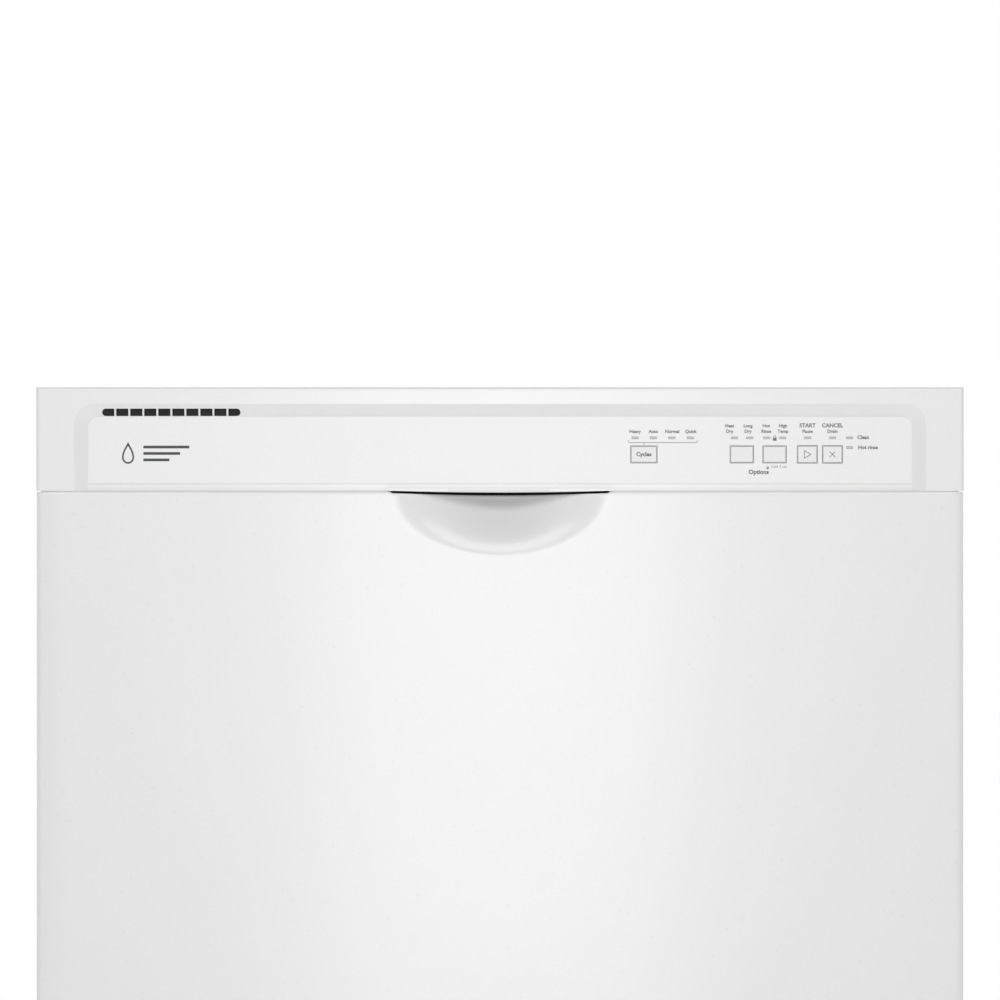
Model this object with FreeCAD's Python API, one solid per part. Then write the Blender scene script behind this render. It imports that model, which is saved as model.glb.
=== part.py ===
"""Built-in dishwasher, 24 inch class: tub on a steel base, two pull-out racks, front-control door.

Millimetres. +Z is up, the front faces -Y and +X is to the right of someone facing the door.
The origin is on the floor, under the middle of the machine. Every sub-part is one file in parts/.
"""

import FreeCAD, Part
import math
import os

Vec = FreeCAD.Vector

# ---------------------------------------------------------------- driving dimensions
WIDTH = 606.0          # console, the widest piece: 23 7/8 in
DEPTH = 622.0          # console front to rear spacers: 24 1/2 in
HEIGHT = 864.0         # floor to console top: 34 in
FRONT = -DEPTH / 2
REAR = DEPTH / 2
HALF = WIDTH / 2

HINGE_Y = -262.0       # door hinge axis, along X
HINGE_Z = 140.0
RUN = 0.06             # radial clearance of turning fits
GAP = 0.3              # clearance of sliding faces

# tub, inside faces and wall
TUB_X = 281.0
TUB_FLOOR = 140.0
TUB_ROOF = 842.0
TUB_BACK = 279.0
TUB_WALL = 3.0
TUB_FRONT = -251.0
TUB_ROUND = 23.0
TRACK_Z = 150.0        # top of the ledges that the lower rack rolls on
LIP_Y = -245.0         # front of the tub's lower lip
FLANGE_X = 299.0
FLANGE_TOP = 857.0
FLANGE_FOOT = 168.0
SUMP_Y = 20.0
SUMP_R = 88.0

# door
DOOR_HALF = 301.8
SKIN_Y = -309.6
SKIN_T = 1.0
SKIN_FOOT = 118.0
CONSOLE_FOOT = 796.1
SKIN_TOP = CONSOLE_FOOT - 1.1
LINER_FACE = -256.0    # inner door face, towards the tub
LINER_T = 2.5
BOSS_FACE = -249.0     # raised middle of the inner door
POCKET_X, POCKET_Y, POCKET_Z = 71.0, 32.0, 37.7   # half width, depth and drop of the handle scoop

# control panel
WALL = 2.5
RECESS_X, RECESS_TOP, RECESS_R = 278.0, 852.9, 13.0
RECESS_Y = FRONT + 3.0
OVERLAY_X, OVERLAY_FOOT, OVERLAY_TOP, OVERLAY_R = 268.9, 801.0, 844.3, 6.5
OVERLAY_T = 1.2
KEY_Z = 820.0
KEYS = {  # centre x, width, height
    "key_cycles": (94.0, 17.8, 11.6),
    "key_dry": (158.0, 15.8, 11.6),
    "key_rinse": (179.4, 15.8, 11.6),
    "key_start": (200.8, 13.6, 11.9),
    "key_cancel": (217.2, 13.6, 11.9),
}
LAMP_Z = 830.8
LAMPS = [(x, LAMP_Z) for x in (88.2, 100.2, 112.3, 124.4, 153.2, 163.2, 174.3, 184.7, 201.0, 217.3, 228.4)]
LAMPS.append((228.4, 824.4))
LAMP_W, LAMP_H = 4.2, 1.3
VENT_LEFT, VENT_PITCH, VENT_SLOT, VENT_COUNT = -260.0, 9.16, 8.0, 10
VENT_Z, VENT_H = 847.5, 4.8

# racks
WIRE = 4.0
LOWER = {"x": 250.0, "front": -220.0, "back": 252.0, "floor": 201.0, "rim": 330.0}
UPPER = {"x": 244.0, "front": -216.0, "back": 236.0, "floor": 520.0, "rim": 640.0}
LOWER_WHEEL_R = 17.0
LOWER_WHEEL_Z = TRACK_Z + GAP + LOWER_WHEEL_R
LOWER_WHEELS_Y = (-139.0, 190.0)
RAIL_Z = 600.5
RAIL_WHEEL_R = 12.2
UPPER_WHEELS_Y = (20.0, 180.0)
TUB_ROLLERS_Y = (-205.0, -60.0)
AXLE_R = 4.0

# hinge, cable and spring on each side
CAM_R = 21.0
CABLE_R = 1.2
CABLE_X = 289.0
CABLE_Z = HINGE_Z + CAM_R + CABLE_R + 0.35
SPRING_R = 4.6
SPRING_Y = (-118.0, 62.0)

PARTS = "parts"


# ---------------------------------------------------------------- helpers
def box(xs, ys, zs):
    """A block between two corners, given as pairs in any order."""
    (x0, x1), (y0, y1), (z0, z1) = sorted(xs), sorted(ys), sorted(zs)
    return Part.makeBox(x1 - x0, y1 - y0, z1 - z0, Vec(x0, y0, z0))


def side_box(side, xs, ys, zs):
    """A block on the right (side 1) or left (side -1), with xs counted from the middle outwards."""
    return box((side * xs[0], side * xs[1]), ys, zs)


def rod(radius, start, end):
    """A round bar from one point to another."""
    a, b = Vec(*start), Vec(*end)
    return Part.makeCylinder(radius, (b - a).Length, a, b - a)


def fuse(shapes):
    """One solid out of several that touch."""
    first, rest = shapes[0], shapes[1:]
    return first.multiFuse(rest).removeSplitter() if rest else first


def outline(points):
    """A closed polygon through points."""
    return Part.makePolygon([Vec(*p) for p in points] + [Vec(*points[0])])


def arch_wire(half, foot, top, radius, y):
    """A doorway outline in the plane at y: square at the foot, with two round top corners."""
    k = radius * (1 - math.sqrt(0.5))
    a, b = Vec(-half, y, foot), Vec(half, y, foot)
    c, d = Vec(half, y, top - radius), Vec(half - radius, y, top)
    e, f = Vec(-half + radius, y, top), Vec(-half, y, top - radius)
    return Part.Wire([
        Part.makeLine(a, b),
        Part.makeLine(b, c),
        Part.Arc(c, Vec(half - k, y, top - k), d).toShape(),
        Part.makeLine(d, e),
        Part.Arc(e, Vec(-half + k, y, top - k), f).toShape(),
        Part.makeLine(f, a),
    ])


def grille(place, us, vs, bar, thick):
    """A flat welded grid: bars centred on us and vs, cut as one plate. place maps (u, v, w) to x, y, z."""
    h = bar / 2

    def rectangle(u0, u1, v0, v1):
        return outline([place(u0, v0, 0), place(u1, v0, 0), place(u1, v1, 0), place(u0, v1, 0)])

    wires = [rectangle(us[0] - h, us[-1] + h, vs[0] - h, vs[-1] + h)]
    for u0, u1 in zip(us, us[1:]):
        for v0, v1 in zip(vs, vs[1:]):
            wires.append(rectangle(u0 + h, u1 - h, v0 + h, v1 - h))
    step = Vec(*place(0, 0, thick)) - Vec(*place(0, 0, 0))
    return Part.Face(wires, "Part::FaceMakerBullseye").extrude(step)


def comb(place, ends, teeth, bar, height, tooth, thick):
    """A bar with upright teeth centred on teeth, as one flat solid. place maps (u, v, w) to x, y, z."""
    points = [(ends[0], 0), (ends[1], 0), (ends[1], bar)]
    for u in reversed(teeth):
        left, right = u - tooth / 2, u + tooth / 2
        points += [(right, bar), (right, height), (left, height), (left, bar)]
    points.append((ends[0], bar))
    step = Vec(*place(0, 0, thick)) - Vec(*place(0, 0, 0))
    return Part.Face(outline([place(u, v, 0) for u, v in points])).extrude(step)


def spaced(first, last, count):
    """count values from first to last."""
    return [first + (last - first) * i / (count - 1) for i in range(count)]


def round_edges(shape, radius, wanted):
    """Fillets the edges whose centre passes the wanted test."""
    edges = [e for e in shape.Edges if wanted(e)]
    return shape.makeFillet(radius, edges)


def along(edge, axis):
    """True if a straight edge runs along axis 'x', 'y' or 'z'."""
    b = edge.BoundBox
    lengths = {"x": b.XLength, "y": b.YLength, "z": b.ZLength}
    return lengths[axis] > 1 and all(v < 1e-4 for k, v in lengths.items() if k != axis)


def swept_tube(points, radius, bend):
    """A round bar along straight runs joined by tangent arcs of radius bend, or less where a run is short."""
    edges, start = [], Vec(*points[0])
    for before, corner, after in zip(points, points[1:], points[2:]):
        p, c, q = Vec(*before), Vec(*corner), Vec(*after)
        u, w = (p - c).normalize(), (q - c).normalize()
        half_turn = (math.pi - u.getAngle(w)) / 2
        room = 0.45 * min((p - c).Length, (q - c).Length)
        back = min(bend * math.tan(half_turn), room)
        r = back / math.tan(half_turn)
        into, out = c + u * back, c + w * back
        middle = c + (u + w).normalize() * (math.hypot(r, back) - r)
        edges += [Part.makeLine(start, into), Part.Arc(into, middle, out).toShape()]
        start = out
    edges.append(Part.makeLine(start, Vec(*points[-1])))
    path = Part.Wire(edges)
    first = (Vec(*points[1]) - Vec(*points[0])).normalize()
    section = Part.Wire(Part.makeCircle(radius, Vec(*points[0]), first))
    return path.makePipeShell([section], True, False)


def wheel(radius, width, bore, x0, y, z):
    """A roller about an X axis, with a groove worked into its outer face. x0 is its smaller x."""
    body = rod(radius, (x0, y, z), (x0 + width, y, z))
    body = round_edges(body, 1.0, lambda e: True)
    dish = rod(radius * 0.72, (x0 + width - 2, y, z), (x0 + width + 1, y, z))
    hub = rod(bore + 2.6, (x0 + width - 3, y, z), (x0 + width - 0.4, y, z))
    return fuse([body.cut(dish), hub]).cut(rod(bore, (x0 - 1, y, z), (x0 + width + 1, y, z)))


def flip(shape):
    """The same shape on the other side of the middle plane."""
    return shape.mirror(Vec(0, 0, 0), Vec(1, 0, 0))


def both(shape):
    """A right-hand solid and its left-hand twin."""
    return [shape, flip(shape)]


def save(name, *solids):
    """Writes one sub-part, of one or more solids."""
    for s in solids:
        if not s.isValid() or s.Volume <= 0:
            print("not a sound solid:", name, s.ShapeType, s.Volume)
    whole = solids[0] if len(solids) == 1 else Part.makeCompound(list(solids))
    whole.exportStep(os.path.join(PARTS, name + ".step"))


# ---------------------------------------------------------------- tub and what lines it
def tub():
    """Moulded tub: rounded box, flange round three sides of the mouth, ledges, sump hole and ribs."""
    back = TUB_BACK + TUB_WALL
    outer = box((-TUB_X - TUB_WALL, TUB_X + TUB_WALL), (TUB_FRONT, back),
                (TUB_FLOOR - TUB_WALL, TUB_ROOF + TUB_WALL))
    outer = round_edges(outer, TUB_ROUND + TUB_WALL, lambda e: along(e, "y") or e.CenterOfMass.y > back - 1)
    inner = box((-TUB_X, TUB_X), (TUB_FRONT - 40, TUB_BACK), (TUB_FLOOR, TUB_ROOF))
    inner = round_edges(inner, TUB_ROUND, lambda e: along(e, "y") or e.CenterOfMass.y > TUB_BACK - 1)
    flange = box((-FLANGE_X, FLANGE_X), (TUB_FRONT, TUB_FRONT + 4), (FLANGE_FOOT, FLANGE_TOP))
    flange = round_edges(flange, 14, lambda e: along(e, "y") and e.CenterOfMass.z > 500)
    shell = outer.fuse(flange).cut(inner)
    shell = shell.cut(box((-300, 300), (TUB_FRONT - 1, LIP_Y), (TUB_FLOOR - 9, TRACK_Z + 2)))
    adds = [box((-TUB_X + 8, TUB_X - 8), (LIP_Y, LIP_Y + 7), (TUB_FLOOR - TUB_WALL, TRACK_Z))]
    for side in (1, -1):
        adds.append(side_box(side, (245, TUB_X + 1), (LIP_Y, 262), (TUB_FLOOR - 1, TRACK_Z)))
    for z in (240, 360, 480, 600, 720):
        adds.append(box((-250, 250), (back - 1, back + 7), (z, z + 3)))
    for x in (-240, -60, 120, 240):
        adds.append(box((x, x + 3), (back - 1, back + 7), (190, 790)))
    for y in TUB_ROLLERS_Y:
        for side in (1, -1):
            adds.append(rod(8, (side * (TUB_X + 1), y, RAIL_Z), (side * (TUB_X - 2), y, RAIL_Z)))
            adds.append(rod(AXLE_R, (side * (TUB_X + 1), y, RAIL_Z), (side * 266.5, y, RAIL_Z)))
    solid = fuse([shell] + adds)
    holes = [rod(SUMP_R, (0, SUMP_Y, 120), (0, SUMP_Y, 141))]
    holes += [rod(4.4, (x, HEATER_FRONT, 120), (x, HEATER_FRONT, 145)) for x in (-HEATER_FEED, HEATER_FEED)]
    holes.append(rod(5.0, (FLOAT_X, FLOAT_Y, 120), (FLOAT_X, FLOAT_Y, 145)))
    holes.append(rod(6.0, (FILL_X, FILL_Y, 120), (FILL_X, FILL_Y, 145)))
    for hole in holes:
        solid = solid.cut(hole)
    return solid


def tub_gasket():
    """Three-sided bulb seal on the flange: an arch with a hollow-looking bead profile."""
    y0, y1 = LINER_FACE + GAP, TUB_FRONT
    big = Part.Face(arch_wire(292, FLANGE_FOOT + 1, 852, 20, y0)).extrude(Vec(0, y1 - y0, 0))
    small = Part.Face(arch_wire(284, FLANGE_FOOT - 1, 844, 14, y0 - 1)).extrude(Vec(0, y1 - y0 + 2, 0))
    return big.cut(small)


def insulation_blanket():
    """Soft sound blanket: one pad on each side of the tub and one on its roof."""
    y0, y1 = TUB_FRONT + 12, 268
    roof = box((-262, 262), (y0, y1), (TUB_ROOF + TUB_WALL + GAP, 858))
    flank = side_box(1, (TUB_X + TUB_WALL + GAP, 297.5), (y0, y1), (205, 820))
    return [roof] + both(flank)


# ---------------------------------------------------------------- base
RAIL_TOP = 130.0


def base_frame():
    """Folded steel base: two side rails with foot shelves, a front and a rear crossmember."""
    rail = fuse([
        box((280, 282), (-224, 296), (34, RAIL_TOP)),
        box((254, 282), (-224, 296), (RAIL_TOP - 2, RAIL_TOP)),
        box((246, 282), (-224, -178), (34, 37)),
        box((246, 282), (236, 296), (34, 37)),
        box((262, 282), (296, REAR), (60, 110)),
    ])
    rail = rail.cut(rod(5.4, (FOOT_X, FOOT_Y[0], 30), (FOOT_X, FOOT_Y[0], 40)))
    rail = rail.cut(rod(5.4, (FOOT_X, FOOT_Y[1], 30), (FOOT_X, FOOT_Y[1], 40)))
    front = fuse([
        box((-279.8, 279.8), (-224, -222), (37.2, 66)),
        box((-279.8, 279.8), (-224, -209), (37.2, 39.2)),
    ])
    rear = fuse([
        box((-279.8, 279.8), (293, 295), (44, 96)),
        box((-279.8, 279.8), (276, 295), (94, 96)),
    ])
    rear = rear.cut(rod(11, (DRAIN_X, DRAIN_Y, 40), (DRAIN_X, DRAIN_Y, 100)))
    return both(rail) + [front, rear]


FOOT_X, FOOT_Y = 262.0, (-202.0, 268.0)


def levelling_feet():
    """Four screw feet: pad, hexagon and threaded stem."""
    feet = []
    for side in (1, -1):
        for y in FOOT_Y:
            x = side * FOOT_X
            pad = round_edges(rod(17, (x, y, 0), (x, y, 7)), 1.5, lambda e: e.CenterOfMass.z > 5)
            hexagon = outline([(x + 9 * math.cos(math.radians(a)), y + 9 * math.sin(math.radians(a)), 7)
                               for a in range(0, 360, 60)])
            nut = Part.Face(hexagon).extrude(Vec(0, 0, 8))
            feet.append(fuse([pad, nut, rod(5, (x, y, 15), (x, y, 96))]))
    return feet


KICK_Y = -232.0


def toe_kick():
    """Painted kick plate: folded front, top and side returns, two screw holes."""
    plate = fuse([
        box((-300, 300), (KICK_Y, KICK_Y + 1.2), (10, 110)),
        box((-300, 300), (KICK_Y, -226.5), (108.8, 110)),
        box((-300, -298.8), (KICK_Y, -226.5), (10, 110)),
        box((298.8, 300), (KICK_Y, -226.5), (10, 110)),
    ])
    for x in (-240, 240):
        plate = plate.cut(rod(2.6, (x, KICK_Y - 5, 52), (x, KICK_Y + 5, 52)))
    return plate


def access_panel():
    """Black inner panel behind the kick plate, with a row of air slots."""
    panel = box((-282, 282), (-226.2, -224.2), (20, 118))
    slots = [box((x, x + 5), (-230, -220), (76, 104)) for x in range(-120, 121, 20)]
    screws = [rod(2.6, (x, -230, 52), (x, -220, 52)) for x in (-240, 240)]
    for cutter in slots + screws:
        panel = panel.cut(cutter)
    return panel


BRACKET_X, BRACKET_Y, BRACKET_HOLE = 200.0, -232.0, 2.75


def countertop_brackets():
    """Two zinc tabs that rise from the flange and take a screw up into the worktop."""
    tab = fuse([
        box((BRACKET_X - 15, BRACKET_X + 15), (-246.9, -245.4), (848, HEIGHT)),
        box((BRACKET_X - 15, BRACKET_X + 15), (-246.9, -220), (HEIGHT - 1.5, HEIGHT)),
    ])
    tab = tab.cut(rod(BRACKET_HOLE, (BRACKET_X, BRACKET_Y, 855), (BRACKET_X, BRACKET_Y, 870)))
    return both(tab)


def chassis_screws():
    """Kick plate screws and the screws that hold the worktop tabs to the flange."""
    screws = []
    for x in (-240, 240):
        head = round_edges(rod(4.5, (x, KICK_Y - 2.2, 52), (x, KICK_Y - 0.05, 52)), 0.9,
                           lambda e: e.CenterOfMass.y < KICK_Y - 1.5)
        screws.append(fuse([head, rod(2.2, (x, KICK_Y - 0.06, 52), (x, -224.3, 52))]))
    for side in (1, -1):
        x = side * BRACKET_X
        screws.append(rod(3.6, (x, -245.3, 853), (x, -242.5, 853)))
    return screws


def hinge_brackets():
    """Steel cheeks beside the tub that carry the door's pivot pins and the spring anchors."""
    cheek = fuse([
        box((297.5, 300), (-274, -150), (132, 166)),
        box((256, 300), (-220, -150), (130.1, 133.1)),
        rod(AXLE_R, (286, HINGE_Y, HINGE_Z), (299, HINGE_Y, HINGE_Z)),
    ])
    anchor = fuse([
        box((284.5, 300), (70, 73), (131, 170)),
        box((256, 300), (70, 100), (130.1, 132.1)),
        rod(1.6, (CABLE_X, SPRING_Y[1] + 2, CABLE_Z), (CABLE_X, 71, CABLE_Z)),
    ])
    return both(cheek) + both(anchor)


# ---------------------------------------------------------------- water system
HEATER_FRONT, HEATER_FEED, HEATER_Z, HEATER_R = -165.0, 60.0, 160.0, 4.0
FLOAT_X, FLOAT_Y = -190.0, -196.0
FILL_X, FILL_Y = -215.0, -60.0
DRAIN_X, DRAIN_Y = -95.0, 300.4
FILTER_X, FILTER_Y, FILTER_R = -52.0, 32.0, 31.5
HUB_R = 13.0


def sump():
    """Moulded bowl under the tub: rim, side wall, floor, and two pump throats."""
    y = SUMP_Y
    bowl = fuse([
        rod(100, (0, y, 132), (0, y, 137)),
        rod(94, (0, y, 66), (0, y, 133)),
        rod(30, (80, y, 96), (108, y, 96)),
        rod(20, (-80, y + 40, 90), (-108, y + 40, 90)),
    ])
    hollow = fuse([
        rod(91, (0, y, 69), (0, y, 138)),
        rod(26, (75, y, 96), (109, y, 96)),
        rod(16, (-75, y + 40, 90), (-109, y + 40, 90)),
    ])
    return bowl.cut(hollow)


def wash_motor():
    """Circulation pump: volute, motor can, end cap and mounting rib."""
    y, z = SUMP_Y, 96
    body = fuse([
        rod(40, (108.2, y, z), (136, y, z)),
        rod(36, (136, y, z), (200, y, z)),
        rod(14, (200, y, z), (212, y, z)),
        box((140, 196), (y - 8, y + 8), (z - 44, z)),
    ])
    return body


def drain_pump():
    """Small drain pump: volute, coil block and outlet spigot that points to the rear."""
    y, z = SUMP_Y + 40, 90
    return fuse([
        rod(26, (-108.2, y, z), (-132, y, z)),
        rod(17, (-132, y, z), (-150, y, z)),
        box((-186, -150), (y - 20, y + 20), (z - 18, z + 18)),
        rod(9, (-120, y + 10, z + 12), (-120, y + 50, z + 12)),
    ])


def drain_hose():
    """Corrugated drain hose, clipped to the back of the tub in a high loop, from pump to outlet."""
    y, z = SUMP_Y + 90.3, 102
    back = DRAIN_Y
    route = [
        (-120, y, z), (-120, 205, z), (-190, back, 125), (-190, back, 640), (-95, back, 735),
        (0, back, 640), (0, back, 260), (DRAIN_X, back, 165), (DRAIN_X, back, 118),
    ]
    return swept_tube(route, 10.4, 60)


def drain_outlet():
    """Elbow fixed to the rear crossmember: takes the hose from above, and a plumber's hose below."""
    y = DRAIN_Y
    return fuse([
        rod(10.4, (DRAIN_X, y, 117.7), (DRAIN_X, y, 42)),
        rod(8.0, (DRAIN_X, y, 42), (DRAIN_X, y, 10)),
        box((DRAIN_X - 22, DRAIN_X + 22), (295.1, 297.6), (52, 92)),
    ])


def hose_clips():
    """P clips that hold the hose to the back of the tub."""
    clips = []
    for x, z in ((-190, 420), (-190, 560), (0, 560), (0, 420)):
        y = DRAIN_Y
        ring = rod(12.2, (x, y, z), (x, y, z + 12)).cut(rod(10.6, (x, y, z - 1), (x, y, z + 13)))
        ring = ring.cut(box((x - 20, x + 20), (310.8, 320), (z - 1, z + 13)))
        foot = box((x - 22, x - 11.4), (282.1, 297), (z, z + 12))
        clips.append(fuse([ring, foot]))
    return clips


def inlet_valve():
    """Solenoid fill valve: body, coil, mounting tab, threaded inlet below and spigot above."""
    return fuse([
        box((-234, -196), (-92, -54), (66, 92)),
        rod(14, (-215, -92, 79), (-215, -124, 79)),
        rod(13.1, (-215, -73, 66), (-215, -73, 46)),
        rod(7, (-215, -60, 92), (-215, -60, 104)),
        box((-279.9, -234), (-90, -56), (88, 91)),
    ])


def fill_hose():
    """Short hose from the valve up to the tub floor."""
    hose = rod(9.5, (FILL_X, FILL_Y, 92.3), (FILL_X, FILL_Y, 136.9))
    return hose.cut(rod(7.05, (FILL_X, FILL_Y, 92), (FILL_X, FILL_Y, 104.1)))


CONDUIT = (210.0, -150.0, 11.1)   # x, y and radius of the cable entry


def junction_box():
    """Wiring box under the right of the tub: open tray with a cable entry in its floor, and its lid."""
    tray = box((170, 250), (-190, -120), (52, 100)).cut(box((171.5, 248.5), (-188.5, -121.5), (53.5, 101)))
    tray = fuse([tray, box((249.9, 279.9), (-176, -134), (60, 62))])
    x, y, radius = CONDUIT
    tray = tray.cut(rod(radius, (x, y, 50), (x, y, 55)))
    lid = fuse([
        box((169, 251), (-191, -119), (100.1, 101.6)),
        rod(2.5, (210, -155, 101.6), (210, -155, 103.6)),
    ])
    return [tray, lid]


def heating_element():
    """Sheathed heater: two feeds up through the floor and one rounded loop above it."""
    z, f, front = HEATER_Z, HEATER_FEED, HEATER_FRONT
    route = [
        (-f, front, 118), (-f, front, z), (-f, front + 34, z), (-185, front + 34, z), (-185, 195, z),
        (185, 195, z), (185, front + 34, z), (f, front + 34, z), (f, front, z), (f, front, 118),
    ]
    return swept_tube(route, HEATER_R, 55)


def heater_brackets():
    """Spring-steel clips that carry the loop off the floor."""
    clips = []
    for x, y in ((-185, 40), (185, 40), (-110, 195), (110, 195)):
        across = abs(x) < 150
        w = (5, 9) if not across else (9, 5)
        post = box((x - w[0], x + w[0]), (y - w[1], y + w[1]), (140.1, 155.8))
        clips.append(post)
    return clips


def filter_plate():
    """Coarse filter disc in the tub floor, pierced for the cartridge and the spray hub."""
    y = SUMP_Y
    disc = rod(SUMP_R - 0.4, (0, y, 137.2), (0, y, 139.8))
    disc = disc.cut(rod(FILTER_R + 0.5, (FILTER_X, FILTER_Y, 130), (FILTER_X, FILTER_Y, 145)))
    disc = disc.cut(rod(HUB_R + 0.2, (0, y, 130), (0, y, 145)))
    for a in range(-75, 60, 15):
        c, s = math.cos(math.radians(a)), math.sin(math.radians(a))
        for r in (34, 48, 62, 76):
            disc = disc.cut(rod(3, (r * c, y + r * s, 130), (r * c, y + r * s, 145)))
    return disc


def filter_cartridge():
    """Lift-out fine filter: cup with a collar and a cross handle, a quarter turn to free it."""
    x, y = FILTER_X, FILTER_Y
    return fuse([
        rod(FILTER_R - 1.0, (x, y, 76), (x, y, 140)),
        rod(FILTER_R, (x, y, 132), (x, y, 145)),
        box((x - 26, x + 26), (y - 3, y + 3), (145, 158)),
        box((x - 3, x + 3), (y - 16, y + 16), (145, 151)),
    ])


def spray_hub():
    """Fixed riser that feeds the lower spray arm."""
    y = SUMP_Y
    return fuse([
        rod(HUB_R, (0, y, 69.2), (0, y, 168)),
        rod(8, (0, y, 167), (0, y, 199)),
        rod(11.5, (0, y, 196.3), (0, y, 199)),
    ])


def feed_tube():
    """Flat duct from the hub along the floor and up the back wall to the rack's docking port."""
    start = SUMP_Y + HUB_R + 0.4
    side = [(start, 140.2), (254, 140.2), (266, 146.5), (274, 156), (278.6, 170), (278.6, 524),
            (262, 524), (262, 172), (256, 160), (248, 153), (start, 153)]
    duct = Part.Face(outline([(-16, y, z) for y, z in side])).extrude(Vec(32, 0, 0))
    duct = round_edges(duct, 4, lambda e: along(e, "z") and e.CenterOfMass.y < 265)
    port = rod(13, (0, 262.5, 506), (0, 246, 506))
    clamp = box((-26, 26), (272, 278.8), (330, 344))
    return fuse([duct, port, clamp])


JET_SHARES = (0.28, 0.45, 0.62, 0.8, 0.93)   # jets along each blade, as shares of its length


def jet_places(radius, y):
    """Centres of the jets: five along each blade, 6 to one side and the other of its middle line in turn."""
    return [(s * k * radius, y + s * (-6, 6)[i % 2]) for s in (1, -1) for i, k in enumerate(JET_SHARES)]


def blade_outline(s, radius, y, z):
    """Outline of one blade: widest at the hub, narrower at its cut-off tip."""
    w_hub, w_tip = 27.0, 19.0
    upper = [(0, w_hub), (s * radius * 0.55, w_hub - 4), (s * (radius - 12), w_tip), (s * radius, w_tip - 9)]
    lower = [(px, -py) for px, py in reversed(upper)]
    return outline([(px, y + py, z) for px, py in upper + lower])


def spray_arm(radius, y, z, thick, bore, hub_r, hub_h):
    """Two-bladed arm with a bored hub and a row of jet bosses on each blade."""
    top = z + thick
    arm = fuse([Part.Face(blade_outline(side, radius, y, z)).extrude(Vec(0, 0, thick)) for side in (1, -1)])
    arm = round_edges(arm, 2.5, lambda e: min(abs(e.CenterOfMass.z - top), abs(e.CenterOfMass.z - z)) < 0.1)
    places = jet_places(radius, y)
    bosses = [rod(4.2, (px, py, top - 1), (px, py, top + 1.6)) for px, py in places]
    arm = fuse([arm, rod(hub_r, (0, y, z - 5), (0, y, z - 5 + hub_h))] + bosses)
    for px, py in places:
        arm = arm.cut(rod(1.6, (px, py, top - 3), (px, py, top + 3)))
    return arm.cut(rod(bore, (0, y, z - 20), (0, y, z + hub_h + 20)))


def lower_spray_arm():
    return spray_arm(232, SUMP_Y, 176, 11, 8 + RUN, 21, 23)


def float_dome():
    """Overfill float: a cap over a stem that drops through the floor to the level switch."""
    x, y = FLOAT_X, FLOAT_Y
    cap = round_edges(rod(26, (x, y, 145), (x, y, 176)), 9, lambda e: e.CenterOfMass.z > 170)
    cap = cap.cut(rod(23, (x, y, 140), (x, y, 170)))
    return fuse([cap, rod(4, (x, y, 122), (x, y, 172))])


# ---------------------------------------------------------------- racks
def rack_floor_place(z):
    return lambda u, v, w: (u, v, z + w)


def wall_across(y):
    return lambda u, v, w: (u, y + w, v)


def wall_along(x, side):
    return lambda u, v, w: (side * (x - w), u, v)


def rack_walls(rack, columns, rows):
    """Four open wire walls standing on the rack floor's edge: front, back, right and left."""
    foot, rim = rack["floor"] + WIRE + WIRE / 2, rack["rim"] - WIRE / 2
    levels = spaced(foot, rim, rows)
    across = spaced(-rack["x"] + WIRE / 2, rack["x"] - WIRE / 2, columns)
    lengthwise = spaced(rack["front"] + WIRE * 1.5 + GAP, rack["back"] - WIRE * 1.5 - GAP, columns - 1)
    front = grille(wall_across(rack["front"]), across, levels, WIRE, WIRE)
    back = grille(wall_across(rack["back"] - WIRE), across, levels, WIRE, WIRE)
    right = grille(wall_along(rack["x"], 1), lengthwise, levels, WIRE, WIRE)
    left = grille(wall_along(rack["x"], -1), lengthwise, levels, WIRE, WIRE)
    return front, back, right, left


def rack_floor(rack, columns, rows):
    """Welded wire floor of a rack."""
    h = WIRE / 2
    us = spaced(-rack["x"] + h, rack["x"] - h, columns)
    vs = spaced(rack["front"] + h, rack["back"] - h, rows)
    return grille(rack_floor_place(rack["floor"]), us, vs, WIRE, WIRE)


def lower_rack():
    """Lower basket: floor and walls, with two axle legs clipped to each side."""
    legs = []
    for y in LOWER_WHEELS_Y:
        legs += both(fuse([
            box((250.1, 253), (y - 11, y + 11), (156, 232)),
            rod(AXLE_R, (252, y, LOWER_WHEEL_Z), (267.5, y, LOWER_WHEEL_Z)),
        ]))
    return [rack_floor(LOWER, 14, 12)] + list(rack_walls(LOWER, 14, 5)) + legs


def tine_rows(rack, rows, spans, height):
    """Rows of upright tines across the rack: one comb for each y and each span (start, end, count)."""
    rack_top = rack["floor"] + WIRE
    combs = []
    for y in rows:
        for start, end, count in spans:
            place = lambda u, v, w, y=y: (u, y + w - 1.75, rack_top + v)
            teeth = spaced(start + 6, end - 6, count)
            combs.append(comb(place, (start, end), teeth, 4.0, height, 3.5, 3.5))
    return combs


def lower_rack_tines():
    rows = spaced(-176, 212, 9)
    return tine_rows(LOWER, rows, [(-238, -60, 7), (-48, 118, 7)], 78)


def upper_rack_tines():
    rows = spaced(-170, 190, 8)
    return tine_rows(UPPER, rows, [(-150, -20, 4), (20, 150, 4)], 48)


def upper_rack():
    """Upper basket: floor and walls."""
    front, back, right, left = rack_walls(UPPER, 14, 4)
    return [rack_floor(UPPER, 14, 12), front, back, right, left]


def rack_adjusters():
    """Moulded plates on the upper rack's sides, with the stub axles of its wheels."""
    y0, y1 = UPPER_WHEELS_Y[0] - 22, UPPER_WHEELS_Y[1] + 22
    plate = [box((UPPER["x"] + 0.1, UPPER["x"] + 3), (y0, y1), (572, 628))]
    for y in UPPER_WHEELS_Y:
        plate.append(rod(AXLE_R, (UPPER["x"] + 2, y, RAIL_Z), (261, y, RAIL_Z)))
    return both(fuse(plate))


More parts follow.
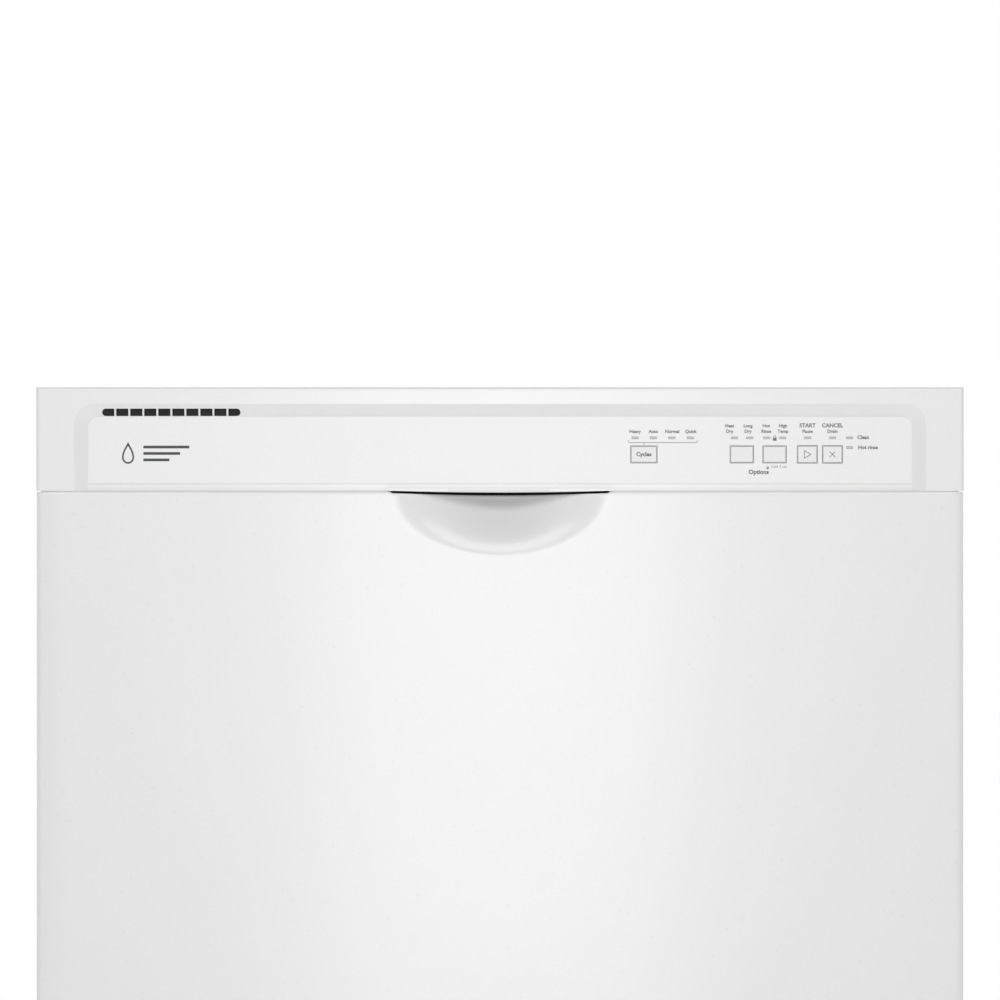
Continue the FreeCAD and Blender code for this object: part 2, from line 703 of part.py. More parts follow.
def upper_manifold():
    """Duct under the upper rack: a pipe from the docking port to the upper arm's spindle."""
    y, z = SUMP_Y, 506
    return fuse([
        rod(10, (0, 245.5, z), (0, y, z)),
        rod(15, (0, 245.5, z), (0, 236, z)),
        rod(17, (0, y, 500), (0, y, 519.8)),
        rod(7, (0, y, 501), (0, y, 472.8)),
        rod(10, (0, y, 475.6), (0, y, 472.8)),
    ])


def upper_spray_arm():
    return spray_arm(222, SUMP_Y, 481, 9, 7 + RUN, 18, 18.4)


def rack_rails():
    """Rolled steel rails: a web with flanges both ways, tub rollers outside it and rack wheels inside."""
    y0, y1 = -222, 204
    low, high = RAIL_Z - RAIL_WHEEL_R - GAP, RAIL_Z + RAIL_WHEEL_R + GAP
    rail = fuse([
        box((263, 264.5), (y0, y1), (low - 1.5, high + 1.5)),
        box((250.5, 277), (y0, y1), (low - 1.5, low)),
        box((250.5, 277), (y0, y1), (high, high + 1.5)),
    ])
    return both(rail)


def tub_roller(y):
    return both(wheel(RAIL_WHEEL_R, 9, AXLE_R + RUN, 266.5, y, RAIL_Z))


def upper_wheel(y):
    return both(wheel(RAIL_WHEEL_R, 9, AXLE_R + RUN, 252, y, RAIL_Z))


def lower_wheel(y):
    return both(wheel(LOWER_WHEEL_R, 12, AXLE_R + RUN, 255, y, LOWER_WHEEL_Z))


BASKET_X, BASKET_Y, BASKET_Z = (132.0, 238.0), (-196.0, 52.0), (209.2, 336.0)
BASKET_CELLS = (2, 4)


def silverware_basket():
    """Moulded cutlery basket: pierced outer walls, cell dividers, and an arched handle."""
    (x0, x1), (y0, y1), (z0, z1) = BASKET_X, BASKET_Y, BASKET_Z
    wall = 2.2
    shell = box((x0, x1), (y0, y1), (z0, z1))
    nx, ny = BASKET_CELLS
    dx, dy = (x1 - x0 - wall) / nx, (y1 - y0 - wall) / ny
    for i in range(nx):
        for j in range(ny):
            cell = box((x0 + wall + i * dx, x0 + (i + 1) * dx), (y0 + wall + j * dy, y0 + (j + 1) * dy),
                       (z0 + wall, z1 + 1))
            shell = shell.cut(cell)
    slots = []
    for j in range(ny):
        for k in range(4):
            y = y0 + wall + j * dy + 7 + k * 13.5
            slots.append(box((x0 - 1, x1 + 1), (y, y + 6), (z0 + 14, z0 + 52)))
            slots.append(box((x0 - 1, x1 + 1), (y, y + 6), (z0 + 62, z0 + 100)))
    shell = shell.cut(Part.makeCompound(slots))
    xm = (x0 + x1) / 2
    span = (y0 + 4 * dy / 4, y1 - 4 * dy / 4)
    post = [box((xm - 5, xm + 5), (y, y + 6), (z1 - 3, z1 + 74)) for y in (span[0], span[1] - 6)]
    grip = box((xm - 8, xm + 8), (span[0], span[1]), (z1 + 68, z1 + 80))
    grip = round_edges(grip, 4, lambda e: along(e, "y") or along(e, "x"))
    return fuse([shell, grip] + post)


# ---------------------------------------------------------------- door
def outer_door_panel():
    """Painted steel skin: flat face, folded edges, and a scoop pressed in under the console."""
    x, t = DOOR_HALF, SKIN_T
    sheet = box((-x, x), (SKIN_Y, -268), (SKIN_FOOT, SKIN_TOP))
    sheet = round_edges(sheet, 2.5,
                        lambda e: e.CenterOfMass.y < SKIN_Y + 1 and e.CenterOfMass.z < SKIN_TOP - 1)
    sheet = sheet.cut(box((-x + t, x - t), (SKIN_Y + t, -260), (SKIN_FOOT + t, SKIN_TOP + 5)))
    sheet = sheet.cut(box((-x + t, x - t), (-290, -260), (SKIN_FOOT - 1, SKIN_TOP + 5)))
    top = box((-x + t, x - t), (SKIN_Y, -304), (SKIN_TOP - t, SKIN_TOP))

    def scoop(grow):
        ball = Part.makeSphere(1, Vec(0, 0, 0), Vec(0, 1, 0))
        m = FreeCAD.Matrix()
        m.scale(POCKET_X + grow, POCKET_Y + grow, POCKET_Z + grow)
        ball = ball.transformGeometry(m)
        ball.translate(Vec(0, SKIN_Y, SKIN_TOP))
        return ball

    room = box((-90, 90), (SKIN_Y, SKIN_Y + 60), (SKIN_TOP - 60, SKIN_TOP))
    dish = scoop(t).common(room)
    return fuse([sheet, top, dish]).cut(scoop(0))


def handle_liner():
    """Black cup behind the console's lower edge, where the fingers hook."""
    z0, z1 = 788.0, 819.0
    cup = box((-76, 76), (-304.9, -273), (z0, z1))
    cup = cup.cut(box((-74, 74), (-310, -275), (z0 - 1, z1 - 2)))
    return cup.cut(box((-80, 80), (-310, -276.2), (z0 - 1, SKIN_TOP + 0.3)))


def console_panel():
    """White moulded control panel: shell with a sloped recess for the overlay, key windows and air slots."""
    x = HALF
    shell = box((-x, x), (FRONT, -262), (CONSOLE_FOOT, HEIGHT))
    shell = round_edges(shell, 2.2,
                        lambda e: e.CenterOfMass.y < FRONT + 1 and e.CenterOfMass.z > CONSOLE_FOOT + 1)
    back_wall = RECESS_Y + WALL
    hollow = box((-x + WALL, x - WALL), (FRONT + WALL, -250), (CONSOLE_FOOT - 5, HEIGHT - WALL))
    pad = box((-RECESS_X - 3, RECESS_X + 3), (FRONT + 1, back_wall), (CONSOLE_FOOT, RECESS_TOP + 3))
    shell = fuse([shell.cut(hollow), pad])
    slope = Part.makeLoft([
        arch_wire(RECESS_X + 0.5, CONSOLE_FOOT - 6, RECESS_TOP + 0.5, RECESS_R, FRONT - 0.17),
        arch_wire(OVERLAY_X + 0.5, CONSOLE_FOOT - 6, OVERLAY_TOP + 0.5, OVERLAY_R + 0.5, RECESS_Y),
    ], True, True)
    shell = shell.cut(slope)
    cutters = [key_window(k, 0.0, FRONT - 1, back_wall + 1) for k in KEYS]
    cutters += [lamp_block(p, 0.15, FRONT - 1, back_wall + 1) for p in LAMPS]
    cutters += vent_slots(FRONT - 1, back_wall + 1)
    return shell.cut(Part.makeCompound(cutters))


def key_window(name, inset, y0, y1):
    """The block of a key's window, made smaller by inset on every side."""
    x, w, h = KEYS[name]
    half_w, half_h = w / 2 - inset, h / 2 - inset
    return box((x - half_w, x + half_w), (y0, y1), (KEY_Z - half_h, KEY_Z + half_h))


def lamp_block(place, grow, y0, y1):
    """The block of one indicator lens, made larger by grow on every side."""
    x, z = place
    w, h = LAMP_W / 2 + grow, LAMP_H / 2 + grow
    return box((x - w, x + w), (y0, y1), (z - h, z + h))


def vent_slots(y0, y1):
    """Ten air slots in a row whose ends are round."""
    slots = []
    for i in range(VENT_COUNT):
        left = VENT_LEFT + i * VENT_PITCH
        slot = box((left, left + VENT_SLOT), (y0, y1), (VENT_Z - VENT_H / 2, VENT_Z + VENT_H / 2))
        if i in (0, VENT_COUNT - 1):
            inward = left + VENT_SLOT - VENT_H / 2 if i else left + VENT_H / 2
            cap = rod(VENT_H / 2, (inward, y0, VENT_Z), (inward, y1, VENT_Z))
            half = (left, inward) if i else (inward, left + VENT_SLOT)
            slot = fuse([cap, box(half, (y0, y1), (VENT_Z - VENT_H / 2, VENT_Z + VENT_H / 2))])
        slots.append(slot)
    return slots


def control_overlay():
    """Printed fascia plate in the recess, pierced for keys and indicators."""
    y0, y1 = RECESS_Y - OVERLAY_T, RECESS_Y
    edge = arch_wire(OVERLAY_X, OVERLAY_FOOT, OVERLAY_TOP, OVERLAY_R, y0)
    plate = Part.Face(edge).extrude(Vec(0, y1 - y0, 0))
    cutters = [key_window(k, 0.0, y0 - 1, y1 + 1) for k in KEYS]
    cutters += [lamp_block(p, 0.15, y0 - 1, y1 + 1) for p in LAMPS]
    return plate.cut(Part.makeCompound(cutters))


def key(name):
    """A push key: cap in its window, retaining flange behind the console wall, and a stem to its switch."""
    x, w, h = KEYS[name]
    face, wall = RECESS_Y - OVERLAY_T, RECESS_Y + WALL
    cap = key_window(name, GAP, face, wall + GAP + 0.1)
    cap = round_edges(cap, 0.35, lambda e: e.CenterOfMass.y < face + 0.01)
    flange = key_window(name, -1.0, wall + GAP, wall + GAP + 1)
    stem = box((x - 2, x + 2), (wall + GAP, wall + GAP + 4), (KEY_Z - 2, KEY_Z + 2))
    return fuse([cap, flange, stem])


def indicator_lenses():
    """Twelve clear light pipes, from the overlay face to the lamps on the board."""
    return [lamp_block(p, 0.0, RECESS_Y - OVERLAY_T, -301.0) for p in LAMPS]


def control_board():
    """Circuit board behind the keys, with relays, a transformer and connectors."""
    back = -298.0
    return fuse([
        box((78, 262), (-299.8, back), (800, 848)),
        box((84, 106), (back - 0.1, -284), (806, 822)),
        box((112, 134), (back - 0.1, -284), (806, 822)),
        box((142, 176), (back - 0.1, -276), (804, 834)),
        box((190, 226), (back - 0.1, -288), (830, 842)),
        box((232, 256), (back - 0.1, -286), (806, 820)),
    ])


VENT_DUCT_X = (-263.0, -167.0)
VENT_CAP = (-211.0, 812.0, 24.0)


def vent_insert():
    """Dark louvre strip that closes the air slots from behind."""
    x0, x1 = VENT_DUCT_X
    strip = box((x0 + 1, x1 - 1), (-305.3, -303.5), (VENT_Z - 4, VENT_Z + 4))
    for z in (VENT_Z - 1.6, VENT_Z, VENT_Z + 1.6):
        strip = strip.cut(box((x0 + 3, x1 - 3), (-306, -303), (z - 0.3, z + 0.3)))
    return strip


def vent_duct():
    """Moulded duct from the air slots to the vent in the inner door."""
    x0, x1 = VENT_DUCT_X
    wall, y0, y1, y2 = 1.6, -303.3, -262.0, BOSS_FACE - LINER_T - 0.2
    x, z, r = VENT_CAP
    h = r - 2.5
    body = fuse([box((x0, x1), (y0, y1), (786, 854)), box((x - h, x + h), (y1, y2), (z - h, z + h))])
    h -= wall
    body = body.cut(box((x0 + wall, x1 - wall), (y0 + wall, y1 - wall), (786 + wall, 854 - wall)))
    body = body.cut(box((x - h, x + h), (y1 - wall - 1, y2 - wall), (z - h, z + h)))
    body = body.cut(box((x0 + 4, x1 - 4), (y0 - 1, y0 + wall + 1), (VENT_Z - 3.5, VENT_Z + 3.5)))
    return body.cut(rod(r - 5, (x, y2 - wall - 1, z), (x, y2 + 1, z)))


def vent_cap():
    """Round grille on the inner door, with slanted slots and a snap collar."""
    x, z, r = VENT_CAP
    cap = rod(r, (x, BOSS_FACE, z), (x, BOSS_FACE + 5, z))
    cap = round_edges(cap, 2, lambda e: e.CenterOfMass.y > BOSS_FACE + 4)
    collar = rod(r - 5.5, (x, BOSS_FACE - 4, z), (x, BOSS_FACE + 1, z))
    cap = fuse([cap, collar])
    for k in range(-2, 3):
        h = math.sqrt((r - 8) ** 2 - (k * 6) ** 2)
        cap = cap.cut(box((x - h, x + h), (BOSS_FACE - 6, BOSS_FACE + 7), (z + k * 6 - 1.5, z + k * 6 + 1.5)))
    return cap


DISPENSER_X, DISPENSER_Z = (-110.0, 70.0), (375.0, 495.0)


def inner_door_panel():
    """Moulded inner door: face, edge flange, raised middle, and openings for dispenser, vent and latch."""
    face, t = LINER_FACE, LINER_T
    plate = fuse([
        box((-297, 297), (face - t, face), (172, 858)),
        box((-283, 283), (face - t, face), (128, 173)),
        box((-297, -294.5), (-270, face), (172, 858)),
        box((294.5, 297), (-270, face), (172, 858)),
        box((-297, 297), (-270, face), (855.5, 858)),
    ])
    boss = box((-240, 240), (face - t, BOSS_FACE), (178, 838))
    boss = round_edges(boss, 5, lambda e: e.CenterOfMass.y > BOSS_FACE - 1 or along(e, "y"))
    inside = box((-240 + t, 240 - t), (face - t - 1, BOSS_FACE - t), (178 + t, 838 - t))
    plate = fuse([plate, boss]).cut(inside)
    ribs = [box((-200, 200), (BOSS_FACE - 1, BOSS_FACE + 1.5), (z, z + 5)) for z in (230, 270, 560, 600, 640)]
    plate = fuse([plate] + ribs)
    (x0, x1), (z0, z1) = DISPENSER_X, DISPENSER_Z
    holes = [box((x0 - GAP, x1 + GAP), (-280, -240), (z0 - GAP, z1 + GAP))]
    x, z, r = VENT_CAP
    holes.append(rod(r - 5.3, (x, -280, z), (x, -240, z)))
    holes.append(box((-13, 13), (-280, -240), (849, 860)))
    holes.append(box((-26.3, 26.3), (-280, -260.5), (849, 860)))
    for hole in holes:
        plate = plate.cut(hole)
    return plate


CUP_X, CUP_Z, CUP_Y = (-96.0, -28.0), (390.0, 448.0), (-268.0, -246.5)
RINSE = (38.0, 474.0)


def dispenser_body():
    """Detergent dispenser: flanged housing with the detergent cup and a rinse-aid filler."""
    (x0, x1), (z0, z1) = DISPENSER_X, DISPENSER_Z
    body = fuse([
        box((x0, x1), (-274, -248), (z0, z1)),
        box((x0 - 5, x1 + 5), (BOSS_FACE + 0.1, -246.5), (z0 - 5, z1 + 5)),
        box((x0 + 4, 66), (-246.6, -245.5), (454.5, 457)),
        box((x0 + 4, 66), (-246.6, -245.5), (381, 383.5)),
    ])
    body = body.cut(box(CUP_X, (CUP_Y[0], -240), CUP_Z))
    x, z = RINSE
    body = body.cut(rod(11.06, (x, -270, z), (x, -240, z)))
    return body


def dispenser_lid():
    """Detergent lid that slides to the right, with a raised finger grip."""
    lid = box((-101, -23), (-246.4, -243.9), (384, 454))
    grip = box((-36, -31), (-244, -240.8), (402, 436))
    grip = round_edges(grip, 1.2, lambda e: e.CenterOfMass.y > -241)
    return fuse([lid, grip])


def rinse_cap():
    """Rinse-aid cap with a finger bar, an eighth-turn lock."""
    x, z = RINSE
    return fuse([
        rod(11, (x, -262, z), (x, -246.4, z)),
        rod(15, (x, -246.4, z), (x, -243, z)),
        box((x - 12, x + 12), (-243.1, -239.6), (z - 2.5, z + 2.5)),
    ])


def door_bottom_seal():
    """Rubber strip along the foot of the inner door."""
    return box((-270, 270), (LINER_FACE + 0.05, -253.6), (129, 136.5))


def hinge_arms():
    """Steel arms inside the door's sides: leg, bored foot and the cam that the cable wraps on."""
    arm = fuse([
        box((291, 294), (-300, -272), (140, 420)),
        box((291, 294), (-300, -253.5), (128, 160)),
        rod(CAM_R, (287, HINGE_Y, HINGE_Z), (291.1, HINGE_Y, HINGE_Z)),
    ])
    arm = arm.cut(rod(AXLE_R + RUN, (280, HINGE_Y, HINGE_Z), (300, HINGE_Y, HINGE_Z)))
    return both(arm)


def door_cables():
    """Steel cables from the cams back to the springs, each with a hook plate."""
    cable = fuse([
        rod(CABLE_R, (CABLE_X, -225, CABLE_Z), (CABLE_X, SPRING_Y[0] - 10, CABLE_Z)),
        box((CABLE_X - 1, CABLE_X + 1), (SPRING_Y[0] - 12, SPRING_Y[0] - 2), (CABLE_Z - 4, CABLE_Z + 4)),
    ])
    return both(cable)


def door_springs():
    """Counterbalance springs, as plain tubes over their whole length."""
    y0, y1 = SPRING_Y
    coil = rod(SPRING_R, (CABLE_X, y0, CABLE_Z), (CABLE_X, y1, CABLE_Z))
    return both(coil.cut(rod(SPRING_R - 1.5, (CABLE_X, y0 - 1, CABLE_Z), (CABLE_X, y1 + 1, CABLE_Z))))


LATCH_PIVOT = (-284.0, 842.0)


def latch_body():
    """Latch housing under the console top, open towards the tub, with the hook's pivot pin."""
    y, z = LATCH_PIVOT
    body = box((-26, 26), (-294, -261), (832, 860)).cut(box((-10, 10), (-291, -255), (834, 861)))
    return fuse([body, rod(2, (-11, y, z), (11, y, z))])


def latch_hook():
    """Sprung hook, drawn down: its tooth swings up into the strike's window."""
    y, z = LATCH_PIVOT
    hook = fuse([
        rod(5, (-4, y, z), (4, y, z)),
        box((-4, 4), (y, y + 18), (z - 3, z + 3)),
        box((-4, 4), (y + 14, y + 18), (z - 3, z + 10)),
    ])
    return hook.cut(rod(2 + RUN, (-6, y, z), (6, y, z)))


def latch_strike():
    """Steel strike on the tub flange: base plate and a windowed tongue that reaches into the door."""
    base = box((-22, 22), (TUB_FRONT - 2, TUB_FRONT), (852.6, 857))
    tongue = box((-9, 9), (-278, TUB_FRONT), (853, 855.4))
    return fuse([base, tongue]).cut(box((-5.5, 5.5), (-274.5, -263.5), (850, 858)))


def door_screws():
    """Screws along the inner door's edges that hold skin and inner door together."""
    screws = []
    for side in (1, -1):
        for z in (230, 420, 610, 790):
            head = rod(3.5, (side * 273, LINER_FACE, z), (side * 273, LINER_FACE + 1.8, z))
            screws.append(round_edges(head, 0.7, lambda e: e.CenterOfMass.y > LINER_FACE + 1))
    return screws


# ---------------------------------------------------------------- write every sub-part
def main():
    os.makedirs(PARTS, exist_ok=True)
    for old in os.listdir(PARTS):
        os.remove(os.path.join(PARTS, old))
    save("tub", tub())
    save("tub_gasket", tub_gasket())
    save("insulation_blanket", *insulation_blanket())
    save("base_frame", *base_frame())
    save("levelling_feet", *levelling_feet())
    save("toe_kick", toe_kick())
    save("access_panel", access_panel())
    save("countertop_brackets", *countertop_brackets())
    save("chassis_screws", *chassis_screws())
    save("hinge_brackets", *hinge_brackets())
    save("sump", sump())
    save("wash_motor", wash_motor())
    save("drain_pump", drain_pump())
    save("drain_hose", drain_hose())
    save("drain_fittings", drain_outlet(), *hose_clips())
    save("inlet_valve", inlet_valve(), fill_hose())
    save("junction_box", *junction_box())
    save("heating_element", heating_element(), *heater_brackets())
    save("filter_plate", filter_plate())
    save("filter_cartridge", filter_cartridge())
    save("feed_tube", feed_tube(), spray_hub())
    save("lower_spray_arm", lower_spray_arm())
    save("float_dome", float_dome())
    save("lower_rack", *lower_rack(), *lower_rack_tines())
    save("silverware_basket", silverware_basket())
    save("upper_rack", *upper_rack(), *upper_rack_tines(), *rack_adjusters())
    save("upper_manifold", upper_manifold())
    save("upper_spray_arm", upper_spray_arm())
    save("rack_rails", *rack_rails())
    for place, y in zip(("front", "rear"), TUB_ROLLERS_Y):
        save("tub_rollers_" + place, *tub_roller(y))
    for place, y in zip(("front", "rear"), UPPER_WHEELS_Y):
        save("upper_wheels_" + place, *upper_wheel(y))
    for place, y in zip(("front", "rear"), LOWER_WHEELS_Y):
        save("lower_wheels_" + place, *lower_wheel(y))
    save("outer_door_panel", outer_door_panel())
    save("handle_liner", handle_liner())
    save("console_panel", console_panel())
    save("control_overlay", control_overlay())
    for name in KEYS:
        save(name, key(name))
    save("indicator_lenses", *indicator_lenses())
    save("control_board", control_board())
    save("vent_duct", vent_duct(), vent_insert())
    save("vent_cap", vent_cap())
    save("inner_door_panel", inner_door_panel())
    save("dispenser_body", dispenser_body())
    save("dispenser_lid", dispenser_lid())
    save("rinse_cap", rinse_cap())
    save("door_bottom_seal", door_bottom_seal())
    save("hinge_arms", *hinge_arms())
    save("door_cables", *door_cables())
    save("door_springs", *door_springs())
    save("latch_body", latch_body())
    save("latch_hook", latch_hook())
    save("latch_strike", latch_strike())
    save("door_screws", *door_screws())
    print(len(os.listdir(PARTS)), "sub-parts")


main()
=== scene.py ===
"""Looks of a built-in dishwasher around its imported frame: white door, console, wire racks, tub and base."""
import math

import bmesh
import bpy
import numpy as np
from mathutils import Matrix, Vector


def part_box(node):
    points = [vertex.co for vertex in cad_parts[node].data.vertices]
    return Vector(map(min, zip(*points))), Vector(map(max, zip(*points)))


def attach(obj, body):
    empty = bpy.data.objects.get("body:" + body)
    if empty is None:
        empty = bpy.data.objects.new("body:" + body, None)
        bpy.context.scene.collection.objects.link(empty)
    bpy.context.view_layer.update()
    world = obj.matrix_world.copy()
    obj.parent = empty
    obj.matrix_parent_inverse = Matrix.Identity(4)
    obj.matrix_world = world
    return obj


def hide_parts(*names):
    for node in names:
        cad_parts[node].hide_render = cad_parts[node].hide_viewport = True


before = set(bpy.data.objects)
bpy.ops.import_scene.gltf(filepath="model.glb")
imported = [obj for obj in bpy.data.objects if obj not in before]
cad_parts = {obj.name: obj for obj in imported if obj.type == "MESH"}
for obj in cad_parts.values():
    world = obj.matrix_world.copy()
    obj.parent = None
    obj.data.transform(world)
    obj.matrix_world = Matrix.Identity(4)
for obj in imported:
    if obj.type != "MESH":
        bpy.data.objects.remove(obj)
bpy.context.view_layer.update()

MM = 0.001


def box_mm(node):
    """Low and high corners of a frame node, in millimetres."""
    return (np.array(corner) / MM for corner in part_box(node))


CONSOLE_LOW, CONSOLE_HIGH = box_mm("console_panel")
SKIN_LOW, SKIN_HIGH = box_mm("outer_door_panel")
OVERLAY_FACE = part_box("control_overlay")[0][1] / MM
FRONT = CONSOLE_LOW[1]                              # front face of the console
ALONG_X, ALONG_Y, ALONG_Z = np.eye(3)


# ------------------------------------------------------------------ camera, floor and light
VIEW_WIDTH, VIEW_DROP = 653.0, 73.8                 # width seen at the console's face, centre below its top
LENS, SENSOR = 200.0, 36.0
FRONT_SURROUND, BACK_SURROUND = 0.34, 1.0           # strengths in front of and behind the machine
TOP_BOX_WATTS, FRONT_BOX_WATTS = 35.0, 24.0


def add_camera():
    """Straight front view of the console, from far enough away to be nearly without perspective."""
    camera = bpy.data.objects.new("camera", bpy.data.cameras.new("camera"))
    camera.data.sensor_width = SENSOR
    camera.data.lens = LENS
    camera.data.clip_end = 50.0
    distance = VIEW_WIDTH * LENS / SENSOR
    camera.location = Vector((0, FRONT - distance, CONSOLE_HIGH[2] - VIEW_DROP)) * MM
    camera.rotation_euler = (math.pi / 2, 0, 0)
    bpy.context.scene.collection.objects.link(camera)
    bpy.context.scene.camera = camera


def add_area_light(name, place, target, size, watts):
    """A soft box of size (width, height) metres at place, turned to target."""
    light = bpy.data.lights.new(name, "AREA")
    light.shape, light.size, light.size_y = "RECTANGLE", size[0], size[1]
    light.energy = watts
    item = bpy.data.objects.new(name, light)
    item.location = place
    item.rotation_euler = (Vector(target) - Vector(place)).to_track_quat("-Z", "Y").to_euler()
    bpy.context.scene.collection.objects.link(item)


def add_studio():
    """Pale surround that is white behind the machine and dimmer in front of it, pale floor and soft boxes."""
    scene = bpy.context.scene
    scene.view_settings.view_transform = "Standard"
    world = bpy.data.worlds.new("white surround")
    scene.world = world
    world.use_nodes = True
    tree, shader = world.node_tree, world.node_tree.nodes["Background"]
    shader.inputs["Color"].default_value = (1, 1, 1, 1)
    way = add(tree, "SeparateXYZ", {"Vector": add(tree, "TexCoord").outputs["Generated"]})
    level = add(tree, "MapRange", {"Value": way.outputs["Y"], "From Min": -0.1, "From Max": 0.3,
                                   "To Min": FRONT_SURROUND, "To Max": BACK_SURROUND})
    tree.links.new(level.outputs[0], shader.inputs["Strength"])
    target = (0, FRONT * MM, 0.8)
    add_area_light("top front soft box", (0, -3.2, 2.6), target, (2.4, 1.2), TOP_BOX_WATTS)
    add_area_light("tall front soft box", (0, -4.4, 0.8), target, (0.5, 1.6), FRONT_BOX_WATTS)
    x, y = np.meshgrid(*[np.linspace(-4, 4, 9)] * 2, indexing="ij")
    floor = build_piece("floor", [grid_of(x, y, 0 * x)], scale=1.0)
    floor.data.materials.append(matt_floor())


# ------------------------------------------------------------------ mesh tools
def grid_of(x, y, z):
    """One surface from three coordinate arrays of the same (nu, nv) shape."""
    return {"points": np.stack(np.broadcast_arrays(x, y, z), axis=-1)[None], "wrap": (False, False)}


def quads_of(shape, wrap):
    """Corner numbers of the quads between neighbours in a batch of (nu, nv) grids."""
    ids = np.arange(np.prod(shape)).reshape(shape)
    right = np.roll(ids, -1, axis=1)
    quads = np.stack([ids, np.roll(ids, -1, axis=2), np.roll(right, -1, axis=2), right], axis=-1)
    quads = quads if wrap[0] else quads[:, :-1]
    quads = quads if wrap[1] else quads[:, :, :-1]
    return quads.reshape(-1, 4)


def build_piece(name, surfaces, scale=MM, closed=False):
    """A mesh object from surfaces in millimetres. Doubled points at seams and poles are welded.
    closed turns every face outwards."""
    points, quads, start = [], [], 0
    for surface in surfaces:
        grid = surface["points"]
        points.append(grid.reshape(-1, 3))
        quads.append(quads_of(grid.shape[:3], surface["wrap"]) + start)
        start += points[-1].shape[0]
    points, quads = np.concatenate(points) * scale, np.concatenate(quads)
    mesh = bpy.data.meshes.new(name)
    mesh.vertices.add(len(points))
    mesh.vertices.foreach_set("co", points.astype(np.float32).ravel())
    mesh.loops.add(quads.size)
    mesh.loops.foreach_set("vertex_index", quads.astype(np.int32).ravel())
    mesh.polygons.add(len(quads))
    mesh.polygons.foreach_set("loop_start", np.arange(0, quads.size, 4, dtype=np.int32))
    mesh.update(calc_edges=True)
    mesh.validate()
    work = bmesh.new()
    work.from_mesh(mesh)
    bmesh.ops.remove_doubles(work, verts=work.verts, dist=2e-6)
    bmesh.ops.dissolve_degenerate(work, edges=work.edges, dist=1e-6)
    if closed:
        bmesh.ops.recalc_face_normals(work, faces=work.faces)
    work.to_mesh(mesh)
    work.free()
    mesh.polygons.foreach_set("use_smooth", np.ones(len(mesh.polygons), bool))
    item = bpy.data.objects.new(name, mesh)
    bpy.context.scene.collection.objects.link(item)
    return item


def dress(item, material, body, replaces=()):
    """Gives a piece its material, the body that it rides on and the nodes that it stands for."""
    item.data.materials.clear()
    item.data.materials.append(material)
    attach(item, body)
    if replaces:
        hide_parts(*replaces)
    return item


def soften(item, angle=40.0):
    """Smooth shading except over edges sharper than angle degrees."""
    item.data.polygons.foreach_set("use_smooth", np.ones(len(item.data.polygons), bool))
    work = bmesh.new()
    work.from_mesh(item.data)
    limit = math.radians(angle)
    for edge in work.edges:
        edge.smooth = len(edge.link_faces) == 2 and edge.calc_face_angle(0.0) < limit
    work.to_mesh(item.data)
    work.free()
    return item


def unit(vectors):
    """Vectors scaled to length 1."""
    return vectors / np.linalg.norm(vectors, axis=-1, keepdims=True)


def round_bar(paths, radius, normal, sides=10, closed=False):
    """Round bars along planar paths. Each path point is the centre of a circle spanned by the plane's normal
    and by tangent x normal; open ends get a small dome of shrinking circles."""
    paths = np.asarray(paths, float)
    paths = paths[None] if paths.ndim == 2 else paths
    radii = np.full(paths.shape[1], float(radius))
    if closed:
        tangent = unit(np.roll(paths, -1, axis=1) - np.roll(paths, 1, axis=1))
    else:
        rise, shrink = np.array([0.87, 0.8, 0.5]) * radius, np.array([0.0, 0.5, 0.85]) * radius
        head, tail = unit(paths[:, 1] - paths[:, 0]), unit(paths[:, -1] - paths[:, -2])
        start = paths[:, :1] - head[:, None] * rise[:, None]
        end = paths[:, -1:] + tail[:, None] * rise[::-1, None]
        paths = np.concatenate([start, paths, end], axis=1)
        radii = np.concatenate([shrink, radii, shrink[::-1]])
        tangent = unit(np.gradient(paths, axis=1))
    normal = np.broadcast_to(np.asarray(normal, float), paths.shape)
    side = unit(np.cross(tangent, normal))
    angle = np.linspace(0, 2 * np.pi, sides, endpoint=False)[:, None]
    ring = np.cos(angle) * normal[:, :, None] + np.sin(angle) * side[:, :, None]
    points = paths[:, :, None] + ring * radii[:, None, None]
    return {"points": points, "wrap": (closed, True)}


def block(low, high, bevel):
    """A bevelled box from low to high: rings round its foot and top, closed by points at their middles."""
    (x0, y0, z0), (x1, y1, z1) = low, high
    ring = np.array([[x0, y0], [x1, y0], [x1, y1], [x0, y1]], float)
    middle = np.repeat(ring.mean(axis=0)[None], 4, axis=0)
    inner = ring + np.sign(middle - ring) * bevel
    levels = [(middle, z0), (inner, z0), (ring, z0 + bevel), (ring, z1 - bevel), (inner, z1), (middle, z1)]
    points = np.array([np.column_stack([xy, np.full(4, z)]) for xy, z in levels])
    return {"points": points[None], "wrap": (False, True)}


# ------------------------------------------------------------------ materials
PATCHES = 9.0                                       # broad patches of colour in a metre


def linear(code):
    """A hex sRGB colour as linear red, green, blue, alpha."""
    value = np.array([int(code[i:i + 2], 16) for i in (0, 2, 4)]) / 255
    value = np.where(value <= 0.04045, value / 12.92, ((value + 0.055) / 1.055) ** 2.4)
    return (*value, 1.0)


def add(tree, kind, sockets=None, **settings):
    """A shader node: settings are its properties, sockets its input values or the outputs that feed them."""
    item = tree.nodes.new("ShaderNode" + kind)
    for name, value in settings.items():
        setattr(item, name, value)
    for name, value in (sockets or {}).items():
        if isinstance(value, bpy.types.NodeSocket):
            tree.links.new(value, item.inputs[name])
        else:
            item.inputs[name].default_value = value
    return item


def find(tree, kind):
    """The one shader node of a kind."""
    return next(node for node in tree.nodes if node.type == kind)


